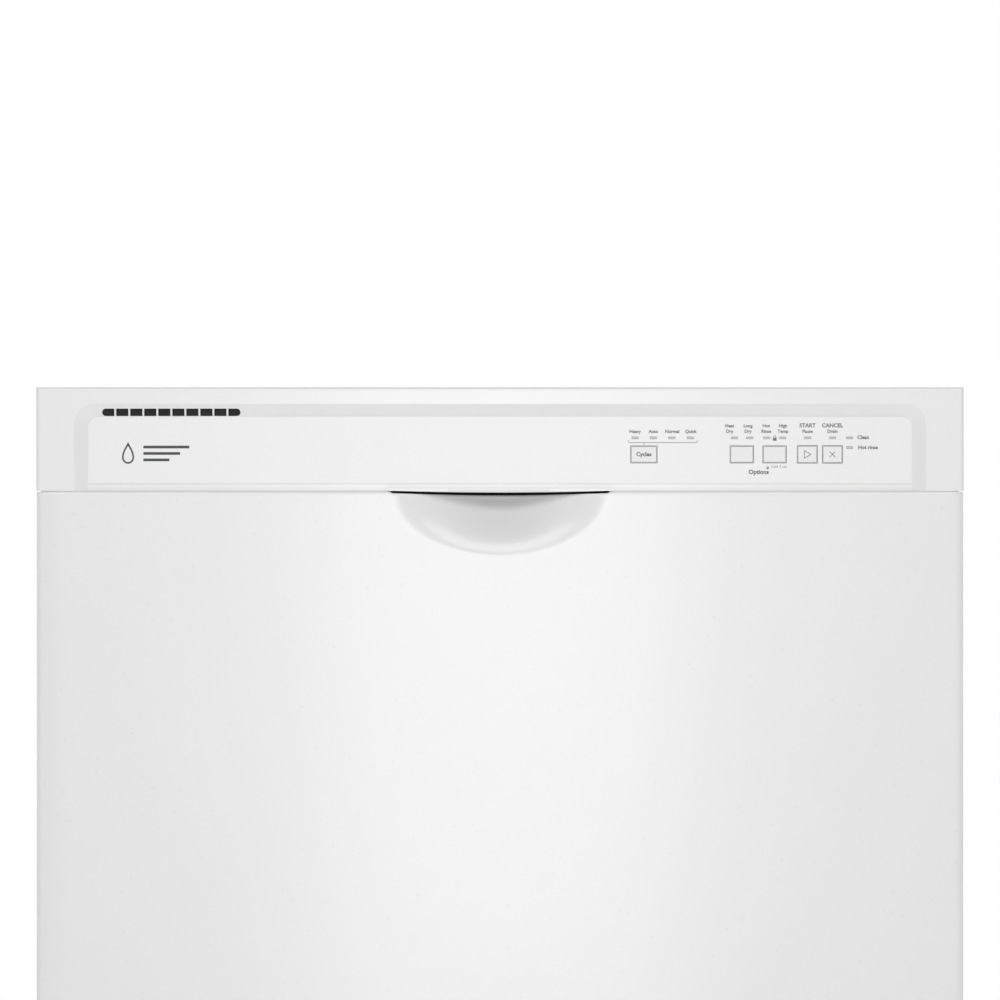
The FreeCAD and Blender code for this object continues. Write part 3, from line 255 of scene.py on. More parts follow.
def finish(name, colour, roughness, pitch, depth, shade=0.96, spread=0.05, stretch=(1, 1, 1), detail=3.0,
           **sockets):
    """A material with a fine pattern, pitch millimetres wide and depth millimetres deep, in its bump and its
    roughness (plus or minus spread), and a broad one in its colour (down to shade times as bright)."""
    material = bpy.data.materials.new(name)
    material.use_nodes = True
    tree = material.node_tree
    tree.nodes.clear()
    place = add(tree, "TexCoord")
    turn = add(tree, "Mapping", {"Vector": place.outputs["Object"],
                                 "Scale": tuple(1 / (pitch * MM * s) for s in stretch)})
    fine = add(tree, "TexNoise", {"Vector": turn.outputs[0], "Scale": 1.0, "Detail": detail,
                                  "Roughness": 0.55})
    broad = add(tree, "TexNoise", {"Vector": place.outputs["Object"], "Scale": PATCHES, "Detail": 2.0})
    rough = add(tree, "MapRange", {"Value": fine.outputs[0], "From Min": 0.3, "From Max": 0.7,
                                   "To Min": max(0.02, roughness - spread), "To Max": roughness + spread})
    dark = tuple(c * shade for c in linear(colour)[:3]) + (1.0,)
    tone = add(tree, "ValToRGB", {"Fac": broad.outputs[0]})
    for stop, place_on_ramp, value in zip(tone.color_ramp.elements, (0.35, 0.65), (dark, linear(colour))):
        stop.position, stop.color = place_on_ramp, value
    bump = add(tree, "Bump", {"Height": fine.outputs[0], "Strength": 1.0, "Distance": depth * MM})
    shader = add(tree, "BsdfPrincipled", {"Base Color": tone.outputs[0], "Roughness": rough.outputs[0],
                                          "Normal": bump.outputs[0]})
    for socket, value in sockets.items():
        shader.inputs[socket.replace("_", " ")].default_value = value
    add(tree, "OutputMaterial", {"Surface": shader.outputs[0]})
    return material


def matt_floor():
    """Painted floor: matt, pale, with a faint roller stipple 8 mm wide."""
    return finish("painted floor", "F6F6F5", 0.9, 8.0, 0.02, shade=0.99)


def baked_enamel():
    """Polyester enamel baked on sheet steel: glossy, with sprayed paint's faint orange peel 3 mm wide."""
    return finish("baked white enamel", "EDEDED", 0.30, 3.0, 0.003, shade=0.995, spread=0.03,
                  Coat_Weight=0.25, Coat_Roughness=0.12)


def moulded_abs():
    """ABS moulded in a spark-eroded tool: white, even, with a 0.6 mm grain that dulls its gloss."""
    return finish("moulded white ABS", "EEEEEE", 0.32, 0.6, 0.002, shade=0.995, spread=0.04, IOR=1.53,
                  Coat_Weight=0.3, Coat_Roughness=0.15)


def polycarbonate_label():
    """Screen-printed polycarbonate film: white ink behind, a fine velvet grain of 0.3 mm in front."""
    return finish("velvet polycarbonate film", "F1F1F1", 0.36, 0.3, 0.001, shade=0.997, spread=0.03, IOR=1.58,
                  Coat_Weight=0.15, Coat_Roughness=0.2)


def key_abs():
    """ABS key caps, as white as the film round them and a little duller."""
    return finish("moulded key ABS", "F1F1F1", 0.40, 0.4, 0.002, shade=0.99, spread=0.04, IOR=1.53)


def screen_ink():
    """Grey screen ink on the film: matt, a little thin where the mesh left dots of 0.15 mm."""
    return finish("grey screen ink", "7C7E80", 0.6, 0.15, 0.001, shade=0.85)


def dark_screen_ink():
    """Darker grey screen ink, printed in a second pass for the mark."""
    return finish("dark grey screen ink", "505254", 0.6, 0.15, 0.001, shade=0.85)


def clear_lens():
    """Clear polycarbonate light pipe, frosted at its face by the moulding tool."""
    return finish("frosted polycarbonate", "CDD0D1", 0.35, 0.25, 0.002, shade=0.97, IOR=1.58,
                  Transmission_Weight=0.15)


def black_abs():
    """Black ABS of the ducts and pump parts, with a 0.8 mm moulded grain. The finger cup's liner takes it
    too, as painted shade: its black stands for the shadow in the gap under the console.
    """
    return finish("moulded black ABS", "161617", 0.5, 0.8, 0.01, shade=0.8, spread=0.08, IOR=1.53)


def polypropylene(name, colour, pitch=1.2):
    """Talc-filled polypropylene: satin and slightly waxy, with flow mottling and a fine grain."""
    return finish(name, colour, 0.42, pitch, 0.012, shade=0.94, spread=0.07, IOR=1.49, Subsurface_Weight=0.05,
                  Subsurface_Scale=0.001)


def rubber():
    """Extruded EPDM: matt black with a dusting of talc, drawn out along the strip."""
    return finish("extruded EPDM", "1B1C1E", 0.72, 1.5, 0.02, shade=0.75, spread=0.1, stretch=(1, 1, 3),
                  IOR=1.47)


def hose_plastic():
    """Corrugated polypropylene hose: grey, satin, scuffed between its ribs."""
    return finish("blown hose polypropylene", "85888B", 0.46, 2.0, 0.03, shade=0.85, spread=0.1, IOR=1.49)


def galvanised():
    """Hot-dip galvanised sheet: zinc crystals 8 mm across, each with its own grey and gloss."""
    material = finish("galvanised sheet steel", "B9BCBE", 0.38, 1.0, 0.01, shade=0.9, Metallic=1.0)
    tree = material.node_tree
    shader, place = find(tree, "BSDF_PRINCIPLED"), find(tree, "TEX_COORD")
    spangle = add(tree, "TexVoronoi", {"Vector": place.outputs["Object"], "Scale": 1 / (8 * MM)})
    grey = add(tree, "RGBToBW", {"Color": spangle.outputs["Color"]})
    tone = add(tree, "ValToRGB", {"Fac": grey.outputs[0]})
    for stop, colour in zip(tone.color_ramp.elements, ("9EA2A5", "D0D2D3")):
        stop.color = linear(colour)
    rough = add(tree, "MapRange", {"Value": grey.outputs[0], "To Min": 0.28, "To Max": 0.5})
    tree.links.new(tone.outputs[0], shader.inputs["Base Color"])
    tree.links.new(rough.outputs[0], shader.inputs["Roughness"])
    return material


def metal(name, colour, roughness, pitch, stretch=(1, 1, 1), depth=0.004, shade=0.9):
    """A bare or plated metal whose rolling or drawing marks are pitch wide and stretched along its grain."""
    return finish(name, colour, roughness, pitch, depth, shade=shade, spread=0.08, stretch=stretch,
                  Metallic=1.0)


def vinyl_wire():
    """Fluidised-bed vinyl on steel wire: blue-grey, smooth and slightly wavy where it ran before setting."""
    return finish("dipped vinyl coating", "8F9CAB", 0.34, 4.0, 0.05, shade=0.93, spread=0.05, IOR=1.52,
                  Coat_Weight=0.15, Coat_Roughness=0.2)


def felt():
    """Needled fibre felt: pale grey tangled fibres, drawn 1.5 mm wide, with needle dimples 6 mm apart."""
    material = finish("needled felt", "A9ABAD", 0.95, 1.5, 0.5, shade=0.86, spread=0.04, detail=6.0,
                      Sheen_Weight=0.4, Sheen_Roughness=0.6)
    tree = material.node_tree
    bump, shader, place = (find(tree, kind) for kind in ("BUMP", "BSDF_PRINCIPLED", "TEX_COORD"))
    dimple = add(tree, "TexVoronoi", {"Vector": place.outputs["Object"], "Scale": 1 / (6 * MM)})
    deep = add(tree, "MapRange", {"Value": dimple.outputs["Distance"], "From Max": 0.3})
    second = add(tree, "Bump", {"Height": deep.outputs[0], "Distance": 0.6 * MM, "Strength": 0.7,
                                "Normal": bump.outputs[0]})
    tree.links.new(second.outputs[0], shader.inputs["Normal"])
    return material


def circuit_board():
    """Solder-masked glass-epoxy board: green, glossy, with copper tracks just under the mask."""
    material = finish("solder-masked board", "1E5B36", 0.3, 1.0, 0.01, shade=0.8, Coat_Weight=0.4,
                      Coat_Roughness=0.15)
    tree = material.node_tree
    shader, place = find(tree, "BSDF_PRINCIPLED"), find(tree, "TEX_COORD")
    tracks = add(tree, "TexBrick", {"Vector": place.outputs["Object"], "Scale": 1 / (12 * MM),
                                    "Mortar Size": 0.03, "Color1": linear("1E5B36"),
                                    "Color2": linear("23663D"), "Mortar": linear("3B8A57")})
    tree.links.new(tracks.outputs["Color"], shader.inputs["Base Color"])
    return material


ENAMEL, ABS, FILM, KEY_ABS = baked_enamel(), moulded_abs(), polycarbonate_label(), key_abs()
INK, DARK_INK = screen_ink(), dark_screen_ink()
LAMP_LENS, BLACK, RUBBER, HOSE = clear_lens(), black_abs(), rubber(), hose_plastic()
TUB_GREY = polypropylene("speckled tub polypropylene", "C3C6C8", 2.5)
PALE_GREY = polypropylene("moulded grey polypropylene", "9A9FA5")
ARM_GREY = polypropylene("spray arm polypropylene", "A7ACB1")
ACETAL = polypropylene("roller acetal", "8C9197", 0.8)
GALVANISED = galvanised()
ZINC = metal("bright zinc plating", "C9CBCC", 0.28, 0.8)
STAINLESS = metal("brushed stainless steel", "C4C5C6", 0.32, 0.5, stretch=(40, 40, 1), depth=0.0008)
HEATER = metal("oxidised heater sheath", "4C4B4D", 0.45, 1.2, stretch=(3, 3, 3), shade=0.7)
SPRING = metal("drawn spring steel", "8B8C8E", 0.32, 0.4)
MOTOR_PAINT = finish("black motor lacquer", "202124", 0.38, 1.5, 0.02, shade=0.8, spread=0.08,
                     Coat_Weight=0.2)
BLACK_STEEL = finish("black powder-coated steel", "1A1B1D", 0.55, 0.7, 0.03, shade=0.85, spread=0.06)
VINYL, FELT, BOARD = vinyl_wire(), felt(), circuit_board()

NODE_FINISHES = {
    ENAMEL: ["outer_door_panel", "toe_kick"],
    ABS: ["console_panel"],
    FILM: ["control_overlay"],
    KEY_ABS: ["key_cycles", "key_dry", "key_rinse", "key_start", "key_cancel"],
    LAMP_LENS: ["indicator_lenses"],
    # handle_liner is black as painted shade: seen through the gap under the console, its black stands for
    # that gap's shadow.
    BLACK: ["handle_liner", "vent_duct", "latch_body", "sump", "drain_pump", "inlet_valve", "drain_fittings"],
    TUB_GREY: ["tub", "inner_door_panel"],
    RUBBER: ["tub_gasket", "door_bottom_seal"],
    PALE_GREY: ["dispenser_body", "dispenser_lid", "rinse_cap", "vent_cap", "silverware_basket",
                "filter_cartridge", "float_dome", "feed_tube", "upper_manifold"],
    ARM_GREY: ["lower_spray_arm", "upper_spray_arm"],
    ACETAL: ["tub_rollers_front", "tub_rollers_rear", "upper_wheels_front", "upper_wheels_rear",
             "lower_wheels_front", "lower_wheels_rear"],
    GALVANISED: ["base_frame", "hinge_brackets", "hinge_arms", "junction_box"],
    ZINC: ["levelling_feet", "countertop_brackets", "chassis_screws", "latch_strike", "latch_hook",
           "door_screws"],
    STAINLESS: ["rack_rails", "filter_plate"],
    HEATER: ["heating_element"],
    SPRING: ["door_springs", "door_cables"],
    MOTOR_PAINT: ["wash_motor"],
    BLACK_STEEL: ["access_panel"],
    VINYL: ["upper_rack", "lower_rack"],
    FELT: ["insulation_blanket"],
    HOSE: ["drain_hose"],
    BOARD: ["control_board"],
}


def finish_nodes():
    """Gives every frame node its material."""
    for material, names in NODE_FINISHES.items():
        for name in names:
            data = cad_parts[name].data
            data.materials.clear()
            data.materials.append(material)


# ------------------------------------------------------------------ door and console
GAP_X = 71.4                                        # half width of the dark gap under the console
GAP_END, GAP_BOW = 0.7, 1.5                         # its height at the ends, and more in the middle
SCOOP_X, SCOOP_Z, SCOOP_DEPTH = 73.0, 44.0, 17.5    # half width, height and depth of the finger scoop
RIM_RISE, RIM_PLACE, RIM_WIDTH = 0.14, 0.95, 0.1    # the swelling round the scoop, in mm and in t
SKIN_BACK, SKIN_FOLD, SKIN_THICK = -268.0, 2.5, 1.0  # the side walls' rear edge, fold radius and sheet
SKIN_SETBACK, SEAM = 1.4, 0.7                       # the skin behind the console's face and below its foot


def dense_steps(low, high, fine_low, fine_high, fine, coarse):
    """Coordinates from low to high, fine apart between fine_low and fine_high and coarse elsewhere."""
    spans = (low, fine_low, coarse), (fine_low, fine_high, fine), (fine_high, high, coarse)
    return np.append(np.concatenate([np.arange(*span) for span in spans]), high)


def sink_scoop(x, y, z, top):
    """The skin's points with the finger scoop pressed in and the edge above it dipped under the gap."""
    t = np.hypot(x / SCOOP_X, (z - top) / SCOOP_Z)
    below = np.clip((top - z) / (SCOOP_Z * np.maximum(t, 0.1)), 0, 1)
    sink = SCOOP_DEPTH * np.clip(1 - t ** 2, 0, 1) ** 2.4
    sink = sink - RIM_RISE * below ** 2 * np.exp(-((t - RIM_PLACE) / RIM_WIDTH) ** 2)
    y = y + np.where(np.abs(x) < SKIN_HIGH[0] - SKIN_FOLD - 1, sink, 0)
    dip = (GAP_END + GAP_BOW * np.cos(np.clip(x / GAP_X, -1, 1) * np.pi / 2)) * (np.abs(x) < GAP_X - 0.5)
    return x, y, z - dip * np.clip((z - top + 12) / 12, 0, 1)


def door_skin():
    """Pressed steel skin. Across: the outline of a folded sheet, flat in front with a round fold at each
    side. Up: straight. The front sinks by depth x (1 - t^2)^2.4, with t the distance from the scoop's top
    centre over its half width and height, and swells a little near t = 0.95 under the scoop."""
    half, fold = SKIN_HIGH[0], SKIN_FOLD
    y_front, foot, top = FRONT + SKIN_SETBACK, SKIN_LOW[2], CONSOLE_LOW[2] - SEAM
    turn = np.linspace(0, np.pi / 2, 7)[1:-1]
    flat_x = dense_steps(-half + fold, half - fold, -86, 86, 2.0, 14.0)
    side_y = np.linspace(SKIN_BACK, y_front + fold, 5)
    corner_x, corner_y = half - fold + fold * np.sin(turn), y_front + fold - fold * np.cos(turn)
    xs = np.concatenate([np.full(5, -half), -corner_x[::-1], flat_x, corner_x, np.full(5, half)])
    ys = np.concatenate([side_y, corner_y[::-1], np.full(len(flat_x), y_front), corner_y, side_y[::-1]])
    zs = dense_steps(foot + fold, top, top - 56, top, 1.6, 24.0)
    x, z = np.meshgrid(xs, zs, indexing="ij")
    front = grid_of(*sink_scoop(x, np.repeat(ys[:, None], len(zs), axis=1), z, top))
    hem = np.append(np.linspace(0, np.pi / 2, 7), [np.pi / 2] * 3)
    reach = np.append(np.zeros(7), [5, 11, 17])
    fx, fa = np.meshgrid(flat_x, hem, indexing="ij")
    bottom = grid_of(fx, y_front + fold - fold * np.cos(fa) + reach, foot + fold - fold * np.sin(fa))
    bottom["points"] = bottom["points"][:, :, ::-1]
    lips = []
    left, right = flat_x[flat_x < -GAP_X - 1], flat_x[flat_x > GAP_X + 1]
    for span in (np.append(left, -GAP_X), np.append(GAP_X, right)):
        lx, ly = np.meshgrid(span, np.linspace(0, 5.6, 3), indexing="ij")
        lips.append(grid_of(lx, y_front + ly, np.full(lx.shape, top)))
    skin = build_piece("door_skin", [front, bottom, *lips])
    thick = skin.modifiers.new("sheet", "SOLIDIFY")
    thick.thickness, thick.offset = SKIN_THICK * MM, -1.0
    return dress(skin, ENAMEL, "door", ["outer_door_panel"])


def console_lip():
    """Lower lip of the console over the finger scoop: a strip whose foot bows down by 1.2 in the middle."""
    half, bow = 74, 1.2
    x = np.linspace(-half, half, 75)
    drop = bow * np.cos(x / half * np.pi / 2) ** 0.8
    section_y = np.array([0, 0, 0.5, 2.3, 2.3])
    section_z = np.array([1.4, -0.4, -1.0, -1.0, 1.4])
    y = np.broadcast_to(FRONT + 0.05 + section_y, (75, 5))
    z = CONSOLE_LOW[2] + 0.2 + np.where(section_z > 0, section_z, section_z * drop[:, None])
    strip = {"points": grid_of(x[:, None], y, z)["points"], "wrap": (False, True)}
    lip = build_piece("console_lip", [strip], closed=True)
    return dress(soften(lip), ABS, "door")


# ------------------------------------------------------------------ printing on the overlay and keys
INK_LIFT = 0.03                                     # ink in front of its film or key
INK_Y = OVERLAY_FACE - INK_LIFT
FONT_SIZE = 1.38                                    # font size over the height of its capitals
KEY_EDGE = 1.7                                      # from a key's edge to the middle of its printed frame
WORDS = [  # text, middle x, middle z, cap height, bold
    ("Heavy", 88.2, 834.9, 2.15, 1), ("Auto", 100.2, 834.9, 2.15, 1), ("Normal", 112.5, 834.9, 2.15, 1),
    ("Quick", 124.6, 834.9, 2.15, 1),
    ("Heat", 150.0, 838.6, 2.15, 1), ("Dry", 150.0, 835.0, 2.15, 1), ("Long", 162.0, 838.6, 2.15, 1),
    ("Dry", 162.0, 835.0, 2.15, 1), ("Hot", 173.9, 838.6, 2.15, 1), ("Rinse", 173.9, 835.0, 2.15, 1),
    ("High", 184.9, 838.6, 2.15, 1), ("Temp", 184.9, 835.0, 2.15, 1),
    ("START", 200.9, 838.8, 2.6, 1), ("Pause", 200.9, 835.0, 2.15, 1),
    ("CANCEL", 217.2, 838.8, 2.6, 1), ("Drain", 217.2, 835.0, 2.15, 1),
    ("Options", 169.0, 808.4, 2.9, 1), ("hold 3 sec", 182.5, 812.0, 1.8, 0),
    ("Clean", 237.3, 831.1, 2.4, 1), ("Hot rinse", 240.4, 824.5, 2.4, 1),
]


def word_points(text, height, bold):
    """A word in Blender's own font as a flat mesh: its points in x and y, centred, and its faces."""
    curve = bpy.data.curves.new("word", "FONT")
    curve.body, curve.size = text, height * FONT_SIZE
    curve.align_x, curve.align_y = "CENTER", "CENTER"
    curve.offset = 0.05 * height * bold
    curve.resolution_u = 3
    item = bpy.data.objects.new("word", curve)
    bpy.context.scene.collection.objects.link(item)
    bpy.context.view_layer.update()
    mesh = bpy.data.meshes.new_from_object(item.evaluated_get(bpy.context.evaluated_depsgraph_get()))
    points = np.zeros(len(mesh.vertices) * 3)
    mesh.vertices.foreach_get("co", points)
    faces = [list(p.vertices) for p in mesh.polygons]
    bpy.data.objects.remove(item)
    bpy.data.curves.remove(curve)
    bpy.data.meshes.remove(mesh)
    return points.reshape(-1, 3)[:, :2], faces


def stroke(points, width, closed=False):
    """A flat line of a given width through points (x, z): each corner is mitred."""
    points = np.array(points, float)
    ahead = unit(np.roll(points, -1, axis=0) - points)
    behind = unit(points - np.roll(points, 1, axis=0))
    if not closed:
        ahead[-1], behind[0] = behind[-1], ahead[0]
    normal = unit(np.stack([-(ahead + behind)[:, 1], (ahead + behind)[:, 0]], axis=1))
    bend = np.einsum("ij,ij->i", normal, np.stack([-ahead[:, 1], ahead[:, 0]], axis=1))
    shift = normal * (width / 2 / np.clip(bend, 0.3, 1))[:, None]
    ring = np.concatenate([points + shift, points - shift])
    n = len(points)
    count = n if closed else n - 1
    i = np.arange(count)
    j = (i + 1) % n
    return ring, np.stack([i, i + n, j + n, j], axis=1).tolist()


def frame_points(x, z, width, height, radius):
    """Outline of a box with rounded corners."""
    turn = np.linspace(0, np.pi / 2, 5)
    corners = [(1, 1, 0), (-1, 1, 1), (-1, -1, 2), (1, -1, 3)]
    out = [np.stack([x + sx * (width / 2 - radius) + radius * np.cos(turn + q * np.pi / 2),
                     z + sz * (height / 2 - radius) + radius * np.sin(turn + q * np.pi / 2)], axis=1)
           for sx, sz, q in corners]
    return np.concatenate(out)


def print_ink(name, marks, y, body, material=None):
    """One flat ink layer at depth y from marks, each (points in x and z, faces)."""
    points = np.concatenate([p for p, _ in marks])
    starts = np.cumsum([0] + [len(p) for p, _ in marks])
    faces = [[i + s for i in f] for (_, fs), s in zip(marks, starts) for f in fs]
    mesh = bpy.data.meshes.new(name)
    mesh.from_pydata(np.column_stack([points[:, 0], np.full(len(points), y), points[:, 1]]) * MM, [], faces)
    work = bmesh.new()
    work.from_mesh(mesh)
    bmesh.ops.remove_doubles(work, verts=work.verts, dist=1e-7)
    for face in work.faces:
        if face.normal.y > 0:
            face.normal_flip()
    work.to_mesh(mesh)
    work.free()
    item = bpy.data.objects.new(name, mesh)
    bpy.context.scene.collection.objects.link(item)
    return dress(item, material or INK, body)


def word_mark(text, x, z, height, bold=0):
    """A word as an ink mark centred on (x, z)."""
    points, faces = word_points(text, height, bold)
    return points + np.array([x, z]), faces


def print_legends():
    """Words, the bracket that ties the cycle lamps to their key, its stem and two padlocks."""
    marks = [word_mark(*w) for w in WORDS]
    bracket = [(83.6, 829.2), (83.9, 828.2), (84.9, 827.7), (127.8, 827.7), (128.8, 828.2), (129.1, 829.2)]
    marks.append(stroke(bracket, 0.34))
    marks.append(stroke([(94.0, 827.7), (94.0, 826.0)], 0.3))
    for x, z, s in ((179.5, 831.2, 1.0), (174.9, 811.8, 0.62)):
        marks.append(stroke([(x - 1.2 * s, z - 1.3 * s), (x + 1.2 * s, z - 1.3 * s)], 2.0 * s))
        turn = np.linspace(0, np.pi, 9)
        shackle = np.stack([x + 0.85 * s * np.cos(turn), z - 0.3 * s + 1.35 * s * np.sin(turn)], axis=1)
        marks.append(stroke(shackle, 0.38 * s))
    print_ink("printed_legends", marks, INK_Y, "door")


def print_mark():
    """A plain mark where a maker would print a name: a droplet outline beside three bars."""
    turn = np.linspace(0, 2 * np.pi, 33)[:-1]
    x = -243.0 + 4.6 * np.sin(turn) * np.sin(turn / 2) ** 1.2
    z = 820.6 + 6.2 * np.cos(turn)
    marks = [stroke(np.stack([x, z], axis=1), 1.1, closed=True)]
    for i, length in enumerate((30.0, 24.0, 17.0)):
        level = 824.8 - 4.2 * i
        marks.append(stroke([(-233.0, level), (-233.0 + length, level)], 1.8))
    print_ink("printed_mark", marks, INK_Y, "door", DARK_INK)


def print_keys():
    """Each key's printed frame and its word or sign, on the key's own face."""
    signs = {
        "key_cycles": lambda x, z: [word_mark("Cycles", x, z, 2.7, 1)],
        "key_start": lambda x, z: [stroke([(x - 1.9, z - 2.4), (x + 2.4, z), (x - 1.9, z + 2.4)], 0.42,
                                          closed=True)],
        "key_cancel": lambda x, z: [stroke([(x - 1.9, z - 1.9 * up), (x + 1.9, z + 1.9 * up)], 0.42)
                                    for up in (1, -1)],
    }
    for name in NODE_FINISHES[KEY_ABS]:
        low, high = box_mm(name)
        x, z = (low[0] + high[0]) / 2, (low[2] + high[2]) / 2
        outline = frame_points(x, z, high[0] - low[0] - 2 * KEY_EDGE, high[2] - low[2] - 2 * KEY_EDGE, 0.5)
        marks = [stroke(outline, 0.28, closed=True)]
        if name in signs:
            marks += signs[name](x, z)
        print_ink("print_" + name, marks, low[1] - INK_LIFT, name)


# ------------------------------------------------------------------ swept and turned shapes
def swept(path, profile, normal):
    """A closed profile carried along a planar path. profile holds (side, out) pairs: out goes along normal,
    side along tangent x normal. Each end is closed by a copy of the profile shrunk to its middle."""
    path, profile = np.asarray(path, float), np.asarray(profile, float)
    tangent = unit(np.gradient(path, axis=0))
    normal = np.broadcast_to(np.asarray(normal, float), path.shape)
    side = np.cross(tangent, normal)
    points = path[:, None] + profile[:, 0, None] * side[:, None] + profile[:, 1, None] * normal[:, None]
    ends = [np.broadcast_to(ring.mean(axis=0), ring.shape)[None] for ring in (points[0], points[-1])]
    return {"points": np.concatenate([ends[0], points, ends[1]])[None], "wrap": (False, True)}


def turned(centre, axis, profile, sides=32, shape=None):
    """A turned shape. profile holds (radius, height) pairs from its foot to its top, both on the axis "x" or
    "z". shape(angle, height) scales the radius, as for a hexagon or a thread."""
    profile = np.asarray(profile, float)
    angle = np.linspace(0, 2 * np.pi, sides, endpoint=False)
    radius, height = profile[:, :1], np.repeat(profile[:, 1:], sides, axis=1)
    radius = radius * (shape(angle[None], profile[:, 1:]) if shape else 1.0)
    across, up = radius * np.cos(angle), radius * np.sin(angle)
    order = {"x": (height, across, up), "z": (across, up, height)}[axis]
    points = np.stack([np.broadcast_to(a, height.shape) for a in order], axis=-1) + np.asarray(centre, float)
    return {"points": points[None], "wrap": (False, True)}


def hexagon(angle, height):
    """Radius factor that turns a circle through a hexagon's corners into the hexagon, at every height."""
    return np.cos(np.pi / 6) / np.cos((angle % (np.pi / 3)) - np.pi / 6) + 0 * height


def rounded_disc(radius, low, high, edge):
    """Profile of a disc from low to high whose top edge is rounded by edge."""
    turn = np.linspace(0, np.pi / 2, 5)
    rim = np.stack([radius - edge + edge * np.cos(turn), high - edge + edge * np.sin(turn)], axis=1)
    return np.concatenate([[(0, low), (radius, low)], rim, [(0, high)]])


# ------------------------------------------------------------------ wire racks
WIRE_R, TINE_R = 1.8, 1.6                           # vinyl-coated wires
WIRES_LENGTHWISE, WIRES_ACROSS = 12, 10             # in each rack
LOWER_RACK = {"x": 250.0, "front": -220.0, "back": 252.0, "floor": 201.0, "rim": 330.0, "levels": 5}
UPPER_RACK = {"x": 244.0, "front": -216.0, "back": 236.0, "floor": 520.0, "rim": 640.0, "levels": 4}


def u_bend(low, high, rim, floor, bend=12.0):
    """A wire's (place, height) line: down from the rim at low, over the floor, up to the rim at high."""
    turn = np.linspace(0, np.pi / 2, 6)
    away, near = bend * (1 - np.cos(turn)), bend * (1 - np.sin(turn))
    place = np.concatenate([[low], low + away, high - near, [high]])
    height = np.concatenate([[rim], floor + near, floor + away, [rim]])
    return place, height


def ring_path(half, front, back, z, corner=13.0):
    """A level ring wire: a rectangle with round corners."""
    turn = np.linspace(0, np.pi / 2, 6)
    middles = [(half, back, 0), (-half, back, 1), (-half, front, 2), (half, front, 3)]
    path = []
    for x, y, quarter in middles:
        a = turn + quarter * np.pi / 2
        cx, cy = x - corner * np.sign(x), y - corner * (1 if y == back else -1)
        path.append(np.stack([cx + corner * np.cos(a), cy + corner * np.sin(a), np.full(6, z)], axis=1))
    return np.concatenate(path)


def rack_wires(rack):
    """Wires of a rack: U-bent wires both ways, and level rings welded inside their uprights."""
    edge = WIRE_R + 0.2
    half, front, back = rack["x"] - edge, rack["front"] + edge, rack["back"] - edge
    rim, floor = rack["rim"] - WIRE_R, rack["floor"] + WIRE_R
    place, height = u_bend(front, back, rim, floor)
    xs = np.linspace(-half, half, WIRES_LENGTHWISE + 2)[1:-1]
    lengthwise = np.stack(np.broadcast_arrays(xs[:, None], place, height), axis=-1)
    place, height = u_bend(-half, half, rim, floor + 1.2)
    ys = np.linspace(front, back, WIRES_ACROSS + 2)[1:-1]
    across = np.stack(np.broadcast_arrays(place, ys[:, None], height), axis=-1)
    surfaces = [round_bar(lengthwise, WIRE_R, ALONG_X), round_bar(across, WIRE_R, ALONG_Y)]
    inset = 2 * WIRE_R - 0.4
    for z in np.linspace(rack["floor"] + 9, rim, rack["levels"]):
        ring = ring_path(half - inset, front + inset, back - inset, z)
        surfaces.append(round_bar(ring, WIRE_R + (0.4 if z == rim else 0), ALONG_Z, closed=True))
    return surfaces


def tine_wires(rack, rows, spans, height):
    """Rows of tines: a level base wire on the floor wires and upright wires with domed tips."""
    foot, lines, tips = rack["floor"] + 5.4, [], []
    for y in rows:
        for start, end, count in spans:
            lines.append([(start, y, foot), ((start + end) / 2, y, foot), (end, y, foot)])
            for x in np.linspace(start + 6, end - 6, count):
                tips.append([(x, y, foot), (x, y, foot + height / 2), (x, y, foot + height)])
    return [round_bar(paths, TINE_R, ALONG_Y, sides=8) for paths in (lines, tips)]


def lower_rack():
    """Lower rack of dipped wire with two fields of plate tines."""
    rows = np.linspace(-176, 212, 9)
    surfaces = rack_wires(LOWER_RACK)
    surfaces += tine_wires(LOWER_RACK, rows, [(-238, -60, 7), (-48, 118, 7)], 74.0)
    dress(build_piece("lower_rack_wires", surfaces), VINYL, "lower_rack", ["lower_rack"])
    legs = []
    for side in (1, -1):
        x0, x1 = sorted((side * 250.1, side * 253.0))
        for node in ("lower_wheels_front", "lower_wheels_rear"):
            low, high = box_mm(node)
            y, z = (low[1] + high[1]) / 2, low[2] + 17.0
            legs.append(block((x0, y - 11, 156), (x1, y + 11, 232), 1.0))
            legs.append(turned((side * 250, y, z), "x", rounded_disc(4.0, 0, 17.5, 1.0) * (1, side)))
    dress(soften(build_piece("lower_rack_legs", legs, closed=True)), ACETAL, "lower_rack")


def upper_rack():
    """Upper rack of dipped wire with low tines, and the moulded wheel plates on its sides."""
    rows = np.linspace(-170, 190, 8)
    surfaces = rack_wires(UPPER_RACK)
    surfaces += tine_wires(UPPER_RACK, rows, [(-150, -20, 4), (20, 150, 4)], 44.0)
    dress(build_piece("upper_rack_wires", surfaces), VINYL, "upper_rack", ["upper_rack"])
    plates = []
    for side in (1, -1):
        x0, x1 = sorted((side * 244.1, side * 247.0))
        plates.append(block((x0, -2, 572), (x1, 202, 628), 1.0))
        for level in (583.0, 617.0):
            low, high = sorted((side * 245.5, side * 248.4))
            plates.append(block((low, 4, level - 2), (high, 196, level + 2), 0.8))
        for y in (20.0, 180.0):
            plates.append(turned((side * 245, y, 600.5), "x", rounded_disc(4.0, 0, 16.0, 1.0) * (1, side)))
    dress(soften(build_piece("rack_wheel_plates", plates, closed=True)), ACETAL, "upper_rack")


